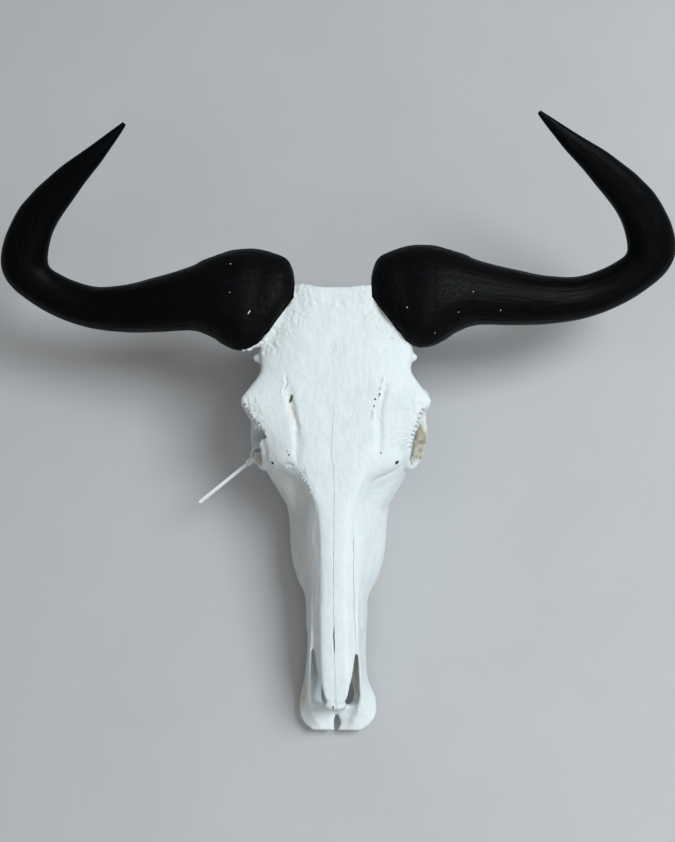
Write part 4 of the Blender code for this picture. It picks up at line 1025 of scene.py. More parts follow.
def bone_look(settings):
    """Matt bleached bone: chalky white, cream where it is rough and stained, brown deep in the hollows; the
    cream and the brown also paint shade into hollows, sheltered places and undersides.
    """
    r = Recipe("bleached_bone")
    browning = r.painted("browning")
    rough = r.painted("rough")
    patches = r.spread(r.noise(46.0, 5.0, 0.65), 0.38, 0.66)
    mottle = r.spread(r.noise(160.0, 3.0, 0.6), 0.3, 0.7)
    fine = r.noise(900.0, 2.0, 0.6)
    lines = r.noise(1.0, 3.0, 0.6, r.stretch((620.0, 80.0, 260.0)))
    streaks = r.spread(r.noise(1.0, 4.0, 0.65, r.stretch((110.0, 55.0, 90.0))), 0.38, 0.64)
    pores = r.spread(r.cells(620.0), 0.05, 0.32)
    cool = shade(settings.white, (0.86, 0.925, 0.965))
    ivory = shade(settings.white, (0.985, 0.965, 0.91))
    base = r.mix(r.maths("MULTIPLY", r.maths("ADD", patches, streaks), 0.5), settings.white, cool)
    base = r.mix(r.maths("MULTIPLY", mottle, 0.35), base, ivory)
    # The cream and the brown follow the browning attribute: real stains together with painted shade in
    # hollows, sheltered places and undersides.
    creamy = r.maths("MULTIPLY", r.spread(browning, 0.05, 0.6), r.spread(mottle, 0.0, 1.0, 0.55, 1.0))
    base = r.mix(creamy, base, settings.cream)
    deep = r.maths("MULTIPLY", r.spread(browning, 0.55, 1.0), r.spread(fine, 0.3, 0.7, 0.75, 1.0))
    base = r.mix(deep, base, settings.brown)
    pit = r.maths("MULTIPLY", rough, r.maths("SUBTRACT", 1.0, pores))
    base = r.mix(r.maths("MULTIPLY", pit, 0.8), base, shade(settings.cream, 0.55))
    roughness = r.spread(mottle, 0.0, 1.0, 0.52, 0.68)
    pitting = r.maths("MULTIPLY", pores, rough)
    r.surface(base, roughness, r.relief((streaks, 0.22, 0.0014), (lines, 0.22, 0.0007),
                                        (mottle, 0.20, 0.0009), (fine, 0.30, 0.0005),
                                        (pitting, 0.8, 0.0010)))
    r.set(Specular_IOR_Level=0.35)
    return r.material


def tooth_look(settings):
    """Worn enamel: cream with brown along the grooves."""
    r = Recipe("worn_enamel")
    streak = r.noise(1.0, 3.0, 0.6, r.stretch((420.0, 420.0, 60.0)))
    base = r.mix(r.spread(streak, 0.35, 0.7), settings.enamel, shade(settings.enamel, 0.72))
    base = r.mix(r.spread(r.painted("browning"), 0.1, 0.9), base, settings.brown)
    r.surface(base, r.spread(streak, 0.3, 0.7, 0.22, 0.42), r.relief((streak, 0.25, 0.0004)))
    r.set(Coat_Weight=0.15, Coat_Roughness=0.2)
    return r.material


def horn_look(settings, name, specks):
    """Black horn: fibres along its length, pitted at the boss, with small pale chips."""
    r = Recipe("black_horn_" + name)
    along = r.painted("lie", "Vector")
    boss = r.painted("boss")
    fibres = r.noise(1.0, 4.0, 0.62, r.stretch((1000.0, 1000.0, 38.0), along))
    strands = r.noise(1.0, 3.0, 0.6, r.stretch((330.0, 330.0, 14.0), along))
    grit = r.noise(1400.0, 2.0, 0.6)
    pits = r.spread(r.cells(430.0), 0.08, 0.45)
    base = r.mix(r.spread(fibres, 0.48, 0.78), settings.black, settings.worn)
    base = r.mix(r.maths("MULTIPLY", boss, r.spread(grit, 0.45, 0.8)), base, shade(settings.worn, 1.5))
    chips = None
    for point, half, turn in specks:
        shift = r.add("ShaderNodeVectorMath", operation="SUBTRACT")
        r.link(r.place, shift.inputs[0])
        shift.inputs[1].default_value = MOVE + Vector(point) * MM
        slant = r.add("ShaderNodeMapping", vector_type="TEXTURE")
        slant.inputs["Rotation"].default_value = (0.0, 0.0, turn)
        slant.inputs["Scale"].default_value = shade(half, MM)
        r.link(shift.outputs["Vector"], slant.inputs["Vector"])
        length = r.add("ShaderNodeVectorMath", operation="LENGTH")
        r.link(slant.outputs["Vector"], length.inputs[0])
        chip = r.spread(length.outputs["Value"], 1.0, 0.6)
        chips = r.maths("MAXIMUM", chips, chip) if chips else chip
    base = r.mix(chips, base, CHIP_WHITE)
    pitting = r.maths("MULTIPLY", pits, boss)
    r.surface(base, r.spread(fibres, 0.3, 0.75, 0.36, 0.52),
              r.relief((strands, 0.22, 0.0010), (fibres, 0.26, 0.0006), (pitting, 0.35, 0.0008),
                       (grit, 0.06, 0.0003)))
    r.set(Specular_IOR_Level=0.05)
    return r.material


def nylon_look(settings):
    """Smooth white nylon with the fine teeth of the strap."""
    r = Recipe("white_nylon")
    teeth = r.add("ShaderNodeTexWave", wave_type="BANDS", bands_direction="Z", wave_profile="SAW")
    teeth.inputs["Scale"].default_value = 260.0
    r.link(r.painted("lie", "Vector"), teeth.inputs["Vector"])
    tint = r.spread(r.noise(300.0), 0.3, 0.7)
    base = r.mix(tint, settings.nylon, shade(settings.nylon, 0.95))
    ribs = r.maths("MULTIPLY", teeth.outputs["Fac"], r.painted("strap"))
    r.surface(base, r.spread(tint, 0.0, 1.0, 0.30, 0.40), r.relief((ribs, 0.35, 0.0004)))
    r.set(Subsurface_Weight=0.12, Subsurface_Scale=0.002)
    return r.material


def floor_look(settings):
    """Plain pale floor."""
    r = Recipe("pale_floor")
    clouds = r.spread(r.noise(3.0, 5.0, 0.6), 0.3, 0.7)
    base = r.mix(clouds, settings.floor, shade(settings.floor, 0.93))
    r.surface(base, r.spread(clouds, 0.0, 1.0, 0.55, 0.68),
              r.relief((r.noise(90.0, 4.0, 0.6), 0.06, 0.002)))
    r.set(Specular_IOR_Level=0.25)
    return r.material


# Cross-sections
def half_ring(half, y, count=72):
    """A closed cross-section at y from points of one half, top to bottom."""
    right = [Vector((x, y, z)) for x, z in half]
    left = [Vector((-x, y, z)) for x, z in reversed(half[1:-1])]
    return spline(right + left, count, closed=True)


def face_ring(y, corner, brow_x, brow_z, cheek_x, cheek_z, gum_x, gum_z, inner, palate):
    """Cross-section of the snout: flat top, brow, cheek, tooth socket and palate."""
    top = top_line(y)
    return half_ring([(0.0, top), (corner * 0.6, top - 0.4), (corner, top - 1.4),
                      (corner + 3.0, top - 5.0), (brow_x, brow_z),
                      (cheek_x, cheek_z), (gum_x, gum_z + 5.0), (gum_x - 2.5, gum_z),
                      (inner + 2.0, gum_z), (inner, gum_z + 3.0), (inner - 8.0, palate),
                      (0.0, palate + 1.0)], y)


def shield_ring(y, half, drop, middle, rim):
    """Cross-section of the forehead plate, which hangs to its rims."""
    top = top_line(y)
    return half_ring([(0.0, top), (half * 0.45, top - drop * 0.04), (half * 0.78, top - drop * 0.38),
                      (half, top - drop), (half - 2.0, top - drop - rim),
                      (half * 0.74, top - drop * 0.4 - rim * 1.1), (half * 0.4, top - middle),
                      (0.0, top - middle)], y)


def braincase_ring(s, half, top, low):
    """Cross-section of the braincase, square to the forehead line."""
    middle = -(top + low) / 2
    return oval(on_line(0, s, middle), Vector((1, 0, 0)), ABOVE, half, (low - top) / 2, 48, 2.6)


def nuchal_ring(s, scale):
    """Outline of the back of the skull."""
    half = [(0.0, 0.0)] + [(x * scale, -w) for x, w in NUCHAL]
    right = [on_line(x, s, w) for x, w in half]
    left = [on_line(-x, s, w) for x, w in reversed(half[1:-1])]
    return spline(right + left, 72, closed=True)


def airway_ring(y, half, low, high):
    """Cross-section of the nasal passage."""
    return oval((0, y, (low + high) / 2), Vector((1, 0, 0)), Vector((0, 0, 1)), half,
                (high - low) / 2, 32, 2.6)


def premaxilla_rings(side):
    """Cross-sections of the front wall of one side: flat in front, upright behind."""
    rings = []
    near, far = FRONT_SLOPE
    for y, right, left, outer, ridge_x, ridge_z, low, thick in smooth_rows(PREMAXILLA, 4):
        inner = max(left if side > 0 else right, GAP)
        if side > 0:
            fade = (LEFT_FLARE_ENDS - y) / LEFT_FLARE_FADE
            outer *= 1.0 + LEFT_FLARE * min(max(fade, 0.0), 1.0)
        wall = min((outer + ridge_x) / 2 - thick, ridge_x - 1.5)
        floor = min(max(outer - thick - 4.0, inner + 4.0), wall - 2.0)
        gentle = min(max((far - y) / (far - near), 0.0), 1.0)
        wall += (inner + GENTLE_WALL * (ridge_x - inner) - wall) * gentle
        floor += (inner + GENTLE_FLOOR * (ridge_x - inner) - floor) * gentle
        floor_z = low + thick + 0.5 + 0.15 * gentle * (ridge_z - low - thick)
        middle = (low + ridge_z) / 2
        half = [(inner, low + 1.5), (inner + 3.0, low), (outer - 3.0, low), (outer, low + 4.0),
                ((outer + ridge_x) / 2 + 0.3, middle + 2.0), (ridge_x + 1.2, ridge_z - 0.5),
                (ridge_x - 1.0, ridge_z - 1.5), (wall, middle - 1.0 + 2.0 * gentle),
                (floor, floor_z), (inner + 1.0, low + thick)]
        rings.append(spline([Vector((side * x, y, z)) for x, z in half], 40, closed=True))
    return rings


def place_horn(point, side):
    """Mirror a point to the right, where the horn reaches wider and lower."""
    if side > 0:
        return point
    return Vector((-point.x - RIGHT_REACH, point.y - point.x * RIGHT_DROOP, point.z))


def horn_ring(side, sides, x, along, height, breadth, depth, turn):
    """One cross-section of a horn or its core."""
    turn = math.radians(turn)
    across = Vector((-math.sin(turn), 0, 0)) + ALONG * math.cos(turn)
    ring = oval(on_line(x, along, height), across, ABOVE, breadth, depth, sides, HORN_SQUARENESS)
    return [place_horn(p, side) for p in ring]


def horn_rings(side, per_span, sides):
    """Cross-sections of one horn."""
    return [horn_ring(side, sides, *row) for row in smooth_rows(HORN_STATIONS, per_span)]


def nasal_sway(y):
    """How far to the left the middle between the nasal bones lies at y."""
    share = max(0.0, (NASAL_SWAY_FROM - y) / (NASAL_SWAY_FROM - NASAL_TIP))
    return NASAL_SWAY * share ** 1.5


def nasal_crown(y):
    """Share of the crown's full height at y."""
    share = max(0.0, (y - NASAL_FLAT_FROM) / (NASAL_END - NASAL_FLAT_FROM))
    return 1.0 - (1.0 - NASAL_FLAT_SHARE) * min(share, 1.0)


def nasal_drop(x):
    """How far the outer face of the nasal bones lies under the forehead line at x from the middle."""
    past = max(0.0, x - NASAL_CORNER)
    return NASAL_ARCH * (x / NASAL_CORNER) ** 2 + NASAL_SIDE * past * past / (past + NASAL_ROUND)


def nasal_rings(side, extra=0.0, lift=0.0, end=NASAL_END):
    """Cross-sections of the room of one nasal bone, wider by extra and open upwards by lift."""
    rows = int((end - NASAL_TIP) / NASAL_STEP)
    widths, slit, shares = (np.array(t).T for t in (NASAL_WIDTHS, NASAL_SLIT, NASAL_CLEAR_SHARES))
    rings = []
    for k in range(rows + 1):
        y = NASAL_TIP + (end - NASAL_TIP) * k / rows
        wave = float(rumple(np.array([[side * 40.0, y, 0.0]]), (0.5, 9.0, 3), (0.25, 3.4, 4))[0])
        zigzag = float(rumple(np.array([[0.0, y, 0.0]]), (0.55, 8.0, 5), (0.22, 2.6, 6))[0])
        fade = min(1.0, (y - NASAL_TIP) / NASAL_WAVE)
        beside = extra * float(np.interp(y, *shares))
        half = float(np.interp(y, *widths)) + wave * fade + beside
        inner = float(np.interp(y, *slit)) + 0.03 + side * zigzag - beside if lift else -1.0
        top = top_line(y)
        crown = nasal_crown(y)
        sway = nasal_sway(y)
        if k == 0 and lift:
            y -= NASAL_AHEAD
        if k == rows:
            y += beside
        thick = NASAL_TIP_THICK if y < NASAL_TIP_LENGTH else NASAL_THICK
        over = [inner + (half - inner) * share for share in NASAL_OVER]
        under = [inner + (half - inner) * share for share in NASAL_UNDER]
        low = top - nasal_drop(half) * crown
        outline = [(x, top - nasal_drop(x) * crown + lift) for x in over]
        outline += [(half, low - NASAL_RIM * 0.5 - beside), (half - 0.2, low - NASAL_RIM - beside)]
        outline += [(x, top - nasal_drop(x) * crown - thick - beside) for x in under]
        rings.append([Vector((side * x + sway, y, z)) for x, z in outline])
    return rings


# Bones
def arch_stations(side):
    """The cheek arch of one side, from the eye socket to the braincase."""
    start, end = LEFT_WAIST_Y
    return [(side * (x - (LEFT_WAIST if side > 0 and start < y < end else 0.0)), y, *rest)
            for x, y, *rest in ARCH]


def mirrored(points, side):
    """Points of the left side, or their mirror on the right."""
    return [(side * p[0], *p[1:]) for p in points]


def past_poll(name, side, place, radii):
    """A round form on the back of the skull, square to the forehead line."""
    x, past, depth = place
    return ball(name, on_line(side * x, POLL + past, -depth), radii, SLOPE)


def bone_forms():
    """The overlapping forms whose union is the bone body."""
    forms = [
        skin("face", [face_ring(*row) for row in smooth_rows(FACE, 4)]),
        skin("shield", [shield_ring(*row) for row in smooth_rows(SHIELD, 4)]),
        skin("braincase", [braincase_ring(*row) for row in smooth_rows(BRAINCASE, 4)]),
        skin("nuchal", [nuchal_ring(POLL + past, size) for past, size in NUCHAL_STEPS]),
        bar("base", BASE),
        bar("bridge", BRIDGE, up=Vector((0, 1, 0))),
        past_poll("occipital", 1, OCCIPITAL, OCCIPITAL_RADII),
    ]
    for side, _ in SIDES:
        cheek = hull("cheek", mirrored(CHEEK, side))
        blend(cheek, CHEEK_FINENESS)
        soften(cheek, 10)
        forms += [
            cheek,
            bar("orbit", mirrored(ORBIT, side), count=72, up=Vector((1, 0, 0)), closed=True),
            bar("arch", arch_stations(side), count=48),
            bar("pterygoid", mirrored(PTERYGOID, side)),
            bar("paroccipital", mirrored(PAROCCIPITAL, side), up=Vector((0, 1, 0))),
            bar("ear", mirrored(EAR, side)),
            skin("front", premaxilla_rings(side)),
            skin("nasal", nasal_rings(side, end=NASAL_FREE_END)),
            past_poll("condyle", side, CONDYLE, CONDYLE_RADII),
            ball("bulla", (side * BULLA[0], *BULLA[1:]), BULLA_RADII),
            ball("knob", *KNOBS[side]),
            skin("pedicle", [horn_ring(side, 40, *row) for row in PEDICLE]),
        ]
    forms.append(bar("fringe", FRINGE, sides=14, count=24))
    return forms


def jagged(points, path, seed):
    """Distance and side as from_path has them, but ragged along the path."""
    flat = points.copy()
    for axis in (X, Y):
        flat[:, axis] += rumple(points, (0.9, (2.6, 2.6, 9.0), seed + 2 * axis),
                                (0.5, (1.5, 1.5, 6.0), seed + 2 * axis + 1))
    return from_path(flat, path)


def sculpt(body):
    """Grooves, ridges and the uneven surface of the bone."""
    points = coords(body)
    folded = np.abs(points)
    normals = facing(body)
    up = ramp(normals[:, Z], *UPWARDS)
    move = rumple(points, *UNEVEN)
    for path, depth, near, far in GROOVES:
        away, side = from_path(points, path)
        half = np.where(side * np.sign(points[:, X]) > 0, near, far)
        move -= depth * (1.0 + 0.25 * grain(points, 3.4, 13)) * up * bell(away, half)
    for path, width, height, ragged in RIDGES:
        away, _ = jagged(points, path, 61) if ragged > 0.5 else from_path(points, path)
        move += height * (1.0 + ragged * grain(points, 2.2, 14)) * up * bell(away, width)
    for x, y, height, radius in POLL_LUMPS:
        away = np.hypot(points[:, X] - x, points[:, Y] - y)
        move += height * up * bell(away, radius) * (1.0 + 0.4 * grain(points, 1.8, 15))
    away, side = jagged(points, STEP_EDGE, 71)
    below = (side < 0) & (points[:, X] < 0)
    step = np.where(below, ramp(away, 0.0, 0.9) * ramp(away, 16.0, 5.0), 0.0)
    move -= within(points, STEP_LIMITS, STEP_HEIGHT * step)
    horns = from_horns(points)
    near_horn = ramp(horns, 62.0, 46.0)
    poll = within(points, POLL_LIMITS, up)
    move += (0.16 * near_horn + 0.09 * poll) * rumple(points, (1.0, 2.5, 7), (0.5, 1.5, 8))
    edge = np.maximum(within(points, HORN_EDGE_LIMITS, 0.5 * ramp(horns, 53.5, 50.0)),
                      within(points, FRINGE_LIMITS))
    move += 1.2 * edge * np.maximum(grain(points, (2.4, 2.4, 6.0), 19), -0.6)
    path, width, height = CHEEK_FILL
    away, _ = from_path(folded, path)
    move += within(points, CHEEK_FILL_LIMITS, height * bell(away, width))
    move += 0.6 * within(folded, RIM_LIMITS) * rumple(points, (1.0, 3.2, 9), (0.5, 1.7, 10))
    move += patch(points, *POROUS_PLACE) * up * (0.9 * np.abs(grain(points, 2.4, 16)) - 0.4)
    move += 0.25 * within(points, FRONT_LIMITS, up) * grain(points, 2.6, 17)
    move += 0.6 * within(points, SHELF_LIMITS) * grain(points, (2.2, 3.0, 2.6), 27)
    points += normals * move[:, None]
    right = RIGHT_CREST_BACK * within(points, RIGHT_CREST)
    left = LEFT_CREST_BACK * within(points, LEFT_CREST)
    points[:, Y] += within(points, CREST_LIMITS) * (right + left)
    put(body, points)


def drop(tree, x, y):
    """Where a line straight down at x and y meets the bone, and the way the bone faces there."""
    return tree.ray_cast(Vector((x, y, OVERHEAD)), DOWN)[:2]


def wedge(tree, path, half, depth):
    """A thin blade that follows a line on the bone and cuts a furrow of that width and depth."""
    spots = [found for found in (drop(tree, x, y) for x, y in path) if found[0] is not None]
    last = len(spots) - 1
    rings = []
    for k, (spot, normal) in enumerate(spots):
        ahead = spots[min(k + 1, last)][0]
        behind = spots[max(k - 1, 0)][0]
        side = (ahead - behind).cross(normal).normalized()
        end = 0.35 if k in (0, last) else 1.0
        top = spot + normal * 1.5
        middle = spot - normal * depth * end * 0.5
        rings.append([top + side * half * 1.6 * end, middle + side * half * 0.6 * end,
                      spot - normal * depth * end,
                      middle - side * half * 0.6 * end, top - side * half * 1.6 * end])
    return skin("wedge", rings)


def spike(name, centre, direction, half_across, half_up, depth, seed=0):
    """A tapered, slightly uneven oval plug that points along a direction."""
    direction = Vector(direction).normalized()
    side = direction.cross(Vector((0, 0, 1)))
    side = side.normalized() if side.length > 1e-3 else Vector((1, 0, 0))
    up = side.cross(direction).normalized()
    rng = random.Random(seed)
    uneven = [rng.uniform(0.84, 1.16) for _ in range(SPIKE_SIDES)]
    rings = []
    for along, wide in SPIKE_STEPS:
        middle = Vector(centre) + direction * (depth * along)
        ring = oval(middle, side, up, half_across * wide, half_up * wide, SPIKE_SIDES)
        rings.append([middle + (p - middle) * k for p, k in zip(ring, uneven)])
    return skin(name, rings)


def follow(path, count, sway, seed):
    """Points spread along a path of x and y, wandering to its sides."""
    line = level_spline(path, count)
    wander = rumple(np.array(line), (sway, 3.2, seed), (sway * 0.6, 1.7, seed + 1))
    return [(p.x + w, p.y) for p, w in zip(line, wander)]


def spike_run(tree, name, runs, seed):
    """Spikes spread along paths on the bone, as the tables of notches and splinters give them."""
    rng = random.Random(seed)
    spikes = []
    for path, spacing, halves, lengths, way, half_height, under in runs:
        line = level_spline(path, 60)
        last = len(line) - 1
        reach = sum((b - a).length for a, b in zip(line, line[1:]))
        inward = Vector(way) * (NOTCH_FEEL if way[Z] == 0.0 else 0.0)
        for k in range(int(reach / spacing)):
            spot = line[min(int((k + rng.uniform(0.4, 0.6)) * spacing / reach * last), last)]
            hit, _ = drop(tree, spot.x + inward.x, spot.y + inward.y)
            half = rng.uniform(*halves)
            length = rng.uniform(*lengths)
            aim = (way[X], way[Y] + rng.uniform(-0.12, 0.12), way[Z])
            if hit is not None:
                spikes.append(spike(name, (spot.x, spot.y, hit.z - under), aim, half, half_height,
                                    length, 20 + k))
    return join(spikes, name)


def carve_details(body):
    """Splinters, furrows, sutures, small openings and the broken rims of the eye sockets."""
    tree = BVHTree.FromObject(body, bpy.context.evaluated_depsgraph_get())
    carve(body, spike_run(tree, "splinter", SPLINTER_RUNS, 8), "UNION")
    lines = [(path, 6 * len(path), 0.3, 81, half, depth) for path, half, depth in FURROWS]
    cuts = [wedge(tree, follow(path, count, sway, seed), half, depth)
            for path, count, sway, seed, half, depth in (*lines, *SUTURES)]
    carve(body, join(cuts, "cuts"))
    holes = [spike("opening", drop(tree, x, y)[0], (lean, 0.25, -1.0), half, length, depth, k)
             for k, (x, y, half, length, depth, lean) in enumerate(FORAMINA)]
    carve(body, join(holes, "openings"))
    carve(body, spike_run(tree, "notch", NOTCH_RUNS, 5))
    outline = level_spline(BREACH, 60, closed=True)
    carve(body, skin("breach", [[Vector((p.x, p.y, z)) for p in outline] for z in BREACH_HEIGHTS]))


def wavy(region, waviness):
    """Give a region an uneven skin, so that the bones part along winding sutures."""
    blend(region, 3.0)
    points = coords(region)
    move = waviness * rumple(points, (1.0, 9.0, 21), (0.55, 4.0, 22))
    put(region, points + facing(region) * move[:, None])


def block(side, limits):
    """A region of one side, from the middle plane outwards."""
    near, far, low, high, slant = limits
    x0, x1 = sorted((side * 0.1, side * 120.0))
    return hull("region", [(x, y + (slant if z == high else 0), z)
                           for x in (x0, x1) for y in (near, far) for z in (low, high)])


def part_off(body, region, name, settings):
    """Part a bone off the body along a winding suture."""
    wavy(region, settings.waviness / MM)
    piece = copy_of(body, name)
    carve(piece, region, "INTERSECT", keep=True)
    swell(region, settings.seam / MM)
    carve(body, region)
    return keep_largest(piece), keep_largest(body)


def shelter(points, normals):
    """How sheltered each point is by the solids of the frame round it, from 0 to 1."""
    corners = []
    faces = []
    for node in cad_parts.values():
        start = len(corners)
        corners += [(v.co - MOVE) / MM for v in node.data.vertices]
        faces += [[start + k for k in p.vertices] for p in node.data.polygons]
    tree = BVHTree.FromPolygons(corners, faces)
    hidden = np.zeros(len(points))
    for k, (point, normal) in enumerate(zip(points, normals)):
        normal = Vector(normal)
        start = Vector(point) + normal * SHELTER_START
        hits = 0.0
        for lean in LEANS:
            found = tree.ray_cast(start, (normal + Vector(lean)).normalized(), SHELTER_REACH)
            if found[0] is not None:
                hits += 1.0 - found[3] / SHELTER_FADE
        hidden[k] = hits / len(LEANS)
    return hidden


def hollows(item, points, normals, rounds):
    """How far each point lies in a hollow of its own bone, in millimetres."""
    ends = np.empty(len(item.data.edges) * 2, np.int32)
    item.data.edges.foreach_get("vertices", ends)
    one, two = ends.reshape(-1, 2).T
    count = np.bincount(one, minlength=len(points)) + np.bincount(two, minlength=len(points))
    even = points.copy()
    for _ in range(rounds):
        for axis in range(3):
            total = (np.bincount(one, weights=even[two, axis], minlength=len(points))
                     + np.bincount(two, weights=even[one, axis], minlength=len(points)))
            even[:, axis] = total / np.maximum(count, 1)
    return np.sum((even - points) * normals, axis=1)


def stain_and_shade(item):
    """Work out where a bone is stained, where shade is painted onto it and where it is rough."""
    points = coords(item)
    normals = facing(item)
    # Painted shade: hollows, places sheltered by the solids round them and undersides are painted cream to
    # brown, where shade would fall, on top of the real stains below.
    hollow = ramp(hollows(item, points, normals, HOLLOW_ROUNDS), 0.15, 1.2)
    hidden = ramp(shelter(points, normals), 0.25, 0.95)
    under = ramp(normals[:, Z], *DOWNWARDS)
    browning = 0.40 * hollow + 0.9 * hidden + 0.12 * under
    blotch = 1.0 + 0.35 * grain(points, 5.0, 18)
    for centre, radii, strength, way in STAINS_AND_SHADE:
        reach = np.linalg.norm((points - np.array(centre)) / np.array(radii), axis=1)
        toward = ramp(normals @ np.array(Vector(way).normalized()), -0.1, 0.5)
        browning += strength * toward * blotch * ramp(reach, 1.0, 0.55)
    near_horn = ramp(from_horns(points), 62.0, 50.0)
    browning += 0.10 * near_horn
    paint(item, "browning", np.clip(browning, 0.0, 1.0))
    rim = within(np.abs(points), WORN_RIM_LIMITS)
    poll = within(points, WORN_POLL_LIMITS, ramp(normals[:, Z], *UPWARDS))
    # The undersides also get the darker pitted colour, as painted shade.
    rough = (0.8 * patch(points, *POROUS_STAIN) + 0.25 * rim + 0.22 * near_horn + 0.12 * poll
             + 0.15 * under)
    paint(item, "rough", np.clip(rough, 0.0, 1.0))


class SKULL_OT_bones(bpy.types.Operator):
    """Model the bones: one blended body, sculpted, carved and parted along its sutures."""

    bl_idname = "skull.bones"
    bl_label = "Bones"

    def execute(self, context):
        settings = context.scene.skull_bones
        fine = settings.fineness / MM * 1.0
        body = join(bone_forms(), "cranium_bone")
        blend(body, fine)
        carve(body, skin("airway", [airway_ring(*row) for row in smooth_rows(AIRWAY, 3)]))
        carve(body, bar("canal", CANAL))
        blend(body, fine)
        soften(body, 12)
        body = keep_largest(body)
        sculpt(body)
        for side, _ in SIDES:
            bed = skin("bed", horn_rings(side, 3, 48))
            swell(bed, GAP)
            carve(body, bed)
        carve_details(body)
        made = []
        for side, label in SIDES:
            piece = copy_of(body, "nasal_" + label)
            carve(piece, skin("room", nasal_rings(side, 0.0, NASAL_ROOM)), "INTERSECT")
            carve(body, skin("room", nasal_rings(side, NASAL_CLEAR[side], NASAL_ROOM)))
            made.append((keep_largest(piece), "nasal_" + label))
            body = keep_largest(body)
        for side, label in SIDES:
            piece, body = part_off(body, block(side, PREMAXILLA_BLOCK), "premaxilla_" + label, settings)
            rod = bar("rod", mirrored(PALATE_ROD, side), sides=14, count=24)
            carve(piece, rod, "UNION")
            made.append((piece, "premaxilla_" + label))
        for side, label in SIDES:
            for name, corners in (("zygomatic_", ZYGOMATIC_REGION), ("lacrimal_", LACRIMAL_REGION)):
                region = hull("region", mirrored(corners, side))
                piece, body = part_off(body, region, name + label, settings)
                made.append((piece, name + label))
        for side, label in SIDES:
            piece, body = part_off(body, block(side, MAXILLA_BLOCK), "maxilla_" + label, settings)
            made.append((piece, "maxilla_" + label))
        made.append((body, "cranium"))
        look = bone_look(settings)
        for piece, node in made:
            piece.name = node + "_bone"
            stain_and_shade(piece)
            finish(piece, look, "bone", node)
        return {"FINISHED"}


def tooth_places():
    """Centre, length, width and lobes of each tooth of one row."""
    places = []
    y = TOOTH_START
    total = sum(TOOTH_LENGTHS)
    for length, width in zip(TOOTH_LENGTHS, TOOTH_WIDTHS):
        share = (y + length / 2 - TOOTH_START) / total
        x = TOOTH_ROW_FRONT_X + (TOOTH_ROW_BACK_X - TOOTH_ROW_FRONT_X) * share
        places.append((x, y + length / 2, length, width, 2 if length > LONG_TOOTH else 1))
        y += length
    return places


def tooth_ring(side, x, y, z, length, width, lobes, scale):
    """Outline of a cheek tooth: ribs on the cheek side and rounded lobes on the tongue side."""
    ring = []
    for k in range(TOOTH_SIDES):
        turn = 2 * math.pi * k / TOOTH_SIDES
        c, s = math.cos(turn), math.sin(turn)
        out = math.copysign(abs(c) ** TOOTH_SQUARENESS, c)
        fore = math.copysign(abs(s) ** TOOTH_SQUARENESS, s)
        place = fore * lobes
        if c > 0:
            push = 0.07 * math.cos(math.pi * place) * (1 if lobes == 2 else 0.7)
        else:
            push = -0.16 * math.exp(-(fore / 0.22) ** 2) if lobes == 2 else 0.0
        ring.append(Vector((side * (x + width / 2 * scale * out * (1 + push * abs(c))),
                            y + (length / 2 - 0.15) * scale * fore, z)))
    return ring


class SKULL_OT_teeth(bpy.types.Operator):
    """Model the cheek teeth of both rows."""

    bl_idname = "skull.teeth"
    bl_label = "Cheek teeth"

    def execute(self, context):
        look = tooth_look(context.scene.skull_bones)
        rng = random.Random(11)
        for side, label in SIDES:
            for number, (x, y, length, width, lobes) in enumerate(tooth_places(), 1):
                wear = rng.uniform(0.0, 0.5)
                rings = [tooth_ring(side, x, y, z + share * wear, length, width, lobes, scale)
                         for z, scale, share in TOOTH_STEPS]
                tooth = skin("tooth_{}_{}".format(label, number), rings)
                points = coords(tooth)
                browning = 0.9 * ramp(points[:, Z], 5.0, 16.0) * (0.4 + 0.6 * np.abs(grain(points, 3.0, 41)))
                points += facing(tooth) * (0.10 * grain(points, (2.0, 2.0, 8.0), 42))[:, None]
                points[:, Z] = np.maximum(points[:, Z], 0.0)
                put(tooth, points)
                paint(tooth, "browning", np.clip(browning, 0.0, 1.0))
                finish(tooth, look, "bone")
        return {"FINISHED"}


class SKULL_OT_horns(bpy.types.Operator):
    """Model the two horns."""

    bl_idname = "skull.horns"
    bl_label = "Horns"

    def execute(self, context):
        settings = context.scene.skull_horns
        swells = settings.swell / MM
        fibre = settings.fibre / MM
        for side, label in SIDES:
            rings = horn_rings(side, 11, 96)
            centres = [sum(ring, Vector()) / len(ring) for ring in rings]
            places = []
            run = 0.0
            for k, (ring, centre) in enumerate(zip(rings, centres)):
                if k:
                    run += (centre - centres[k - 1]).length
                for j, point in enumerate(ring):
                    turn = 2 * math.pi * j / len(ring)
                    reach = (point - centre).length
                    places.append((reach * math.cos(turn), reach * math.sin(turn), run))
            horn = skin("horn_" + label + "_sheath", rings)
            lay(horn, np.array(places))
            fine = horn.modifiers.new("fine", "SUBSURF")
            fine.levels = fine.render_levels = 1
            fix(horn)
            points = coords(horn)
            lie = vectors(horn.data.attributes["lie"].data, "vector") / MM
            boss = ramp(lie[:, Z], *HORN_BOSS)
            rough = ramp(lie[:, Z], *HORN_SMOOTH)
            move = rumple(lie, (swells * (0.3 + boss) * rough, (34.0, 34.0, 15.0), 51),
                          (swells * boss * 0.6, (11.0, 11.0, 9.0), 52),
                          (fibre * (0.35 + 0.65 * rough), (3.2, 3.2, 46.0), 53),
                          (fibre * 0.7 * rough, (1.9, 1.9, 18.0), 54))
            move -= boss * 0.5 * np.maximum(grain(points, 3.0, 55) - 0.35, 0.0)
            put(horn, points + facing(horn) * (move - HORN_SKIN)[:, None])
            paint(horn, "boss", boss)
            finish(horn, horn_look(settings, label, CHIPS[label]), "horn", "horn_" + label)
        return {"FINISHED"}


def strap_ring(profile, centre, flat, up, narrow=1.0):
    """One cross-section of the cable tie's strap."""
    return [centre + flat * a * TIE_WIDTH / 2 * narrow + up * b * TIE_THICK / 2 for a, b in profile]


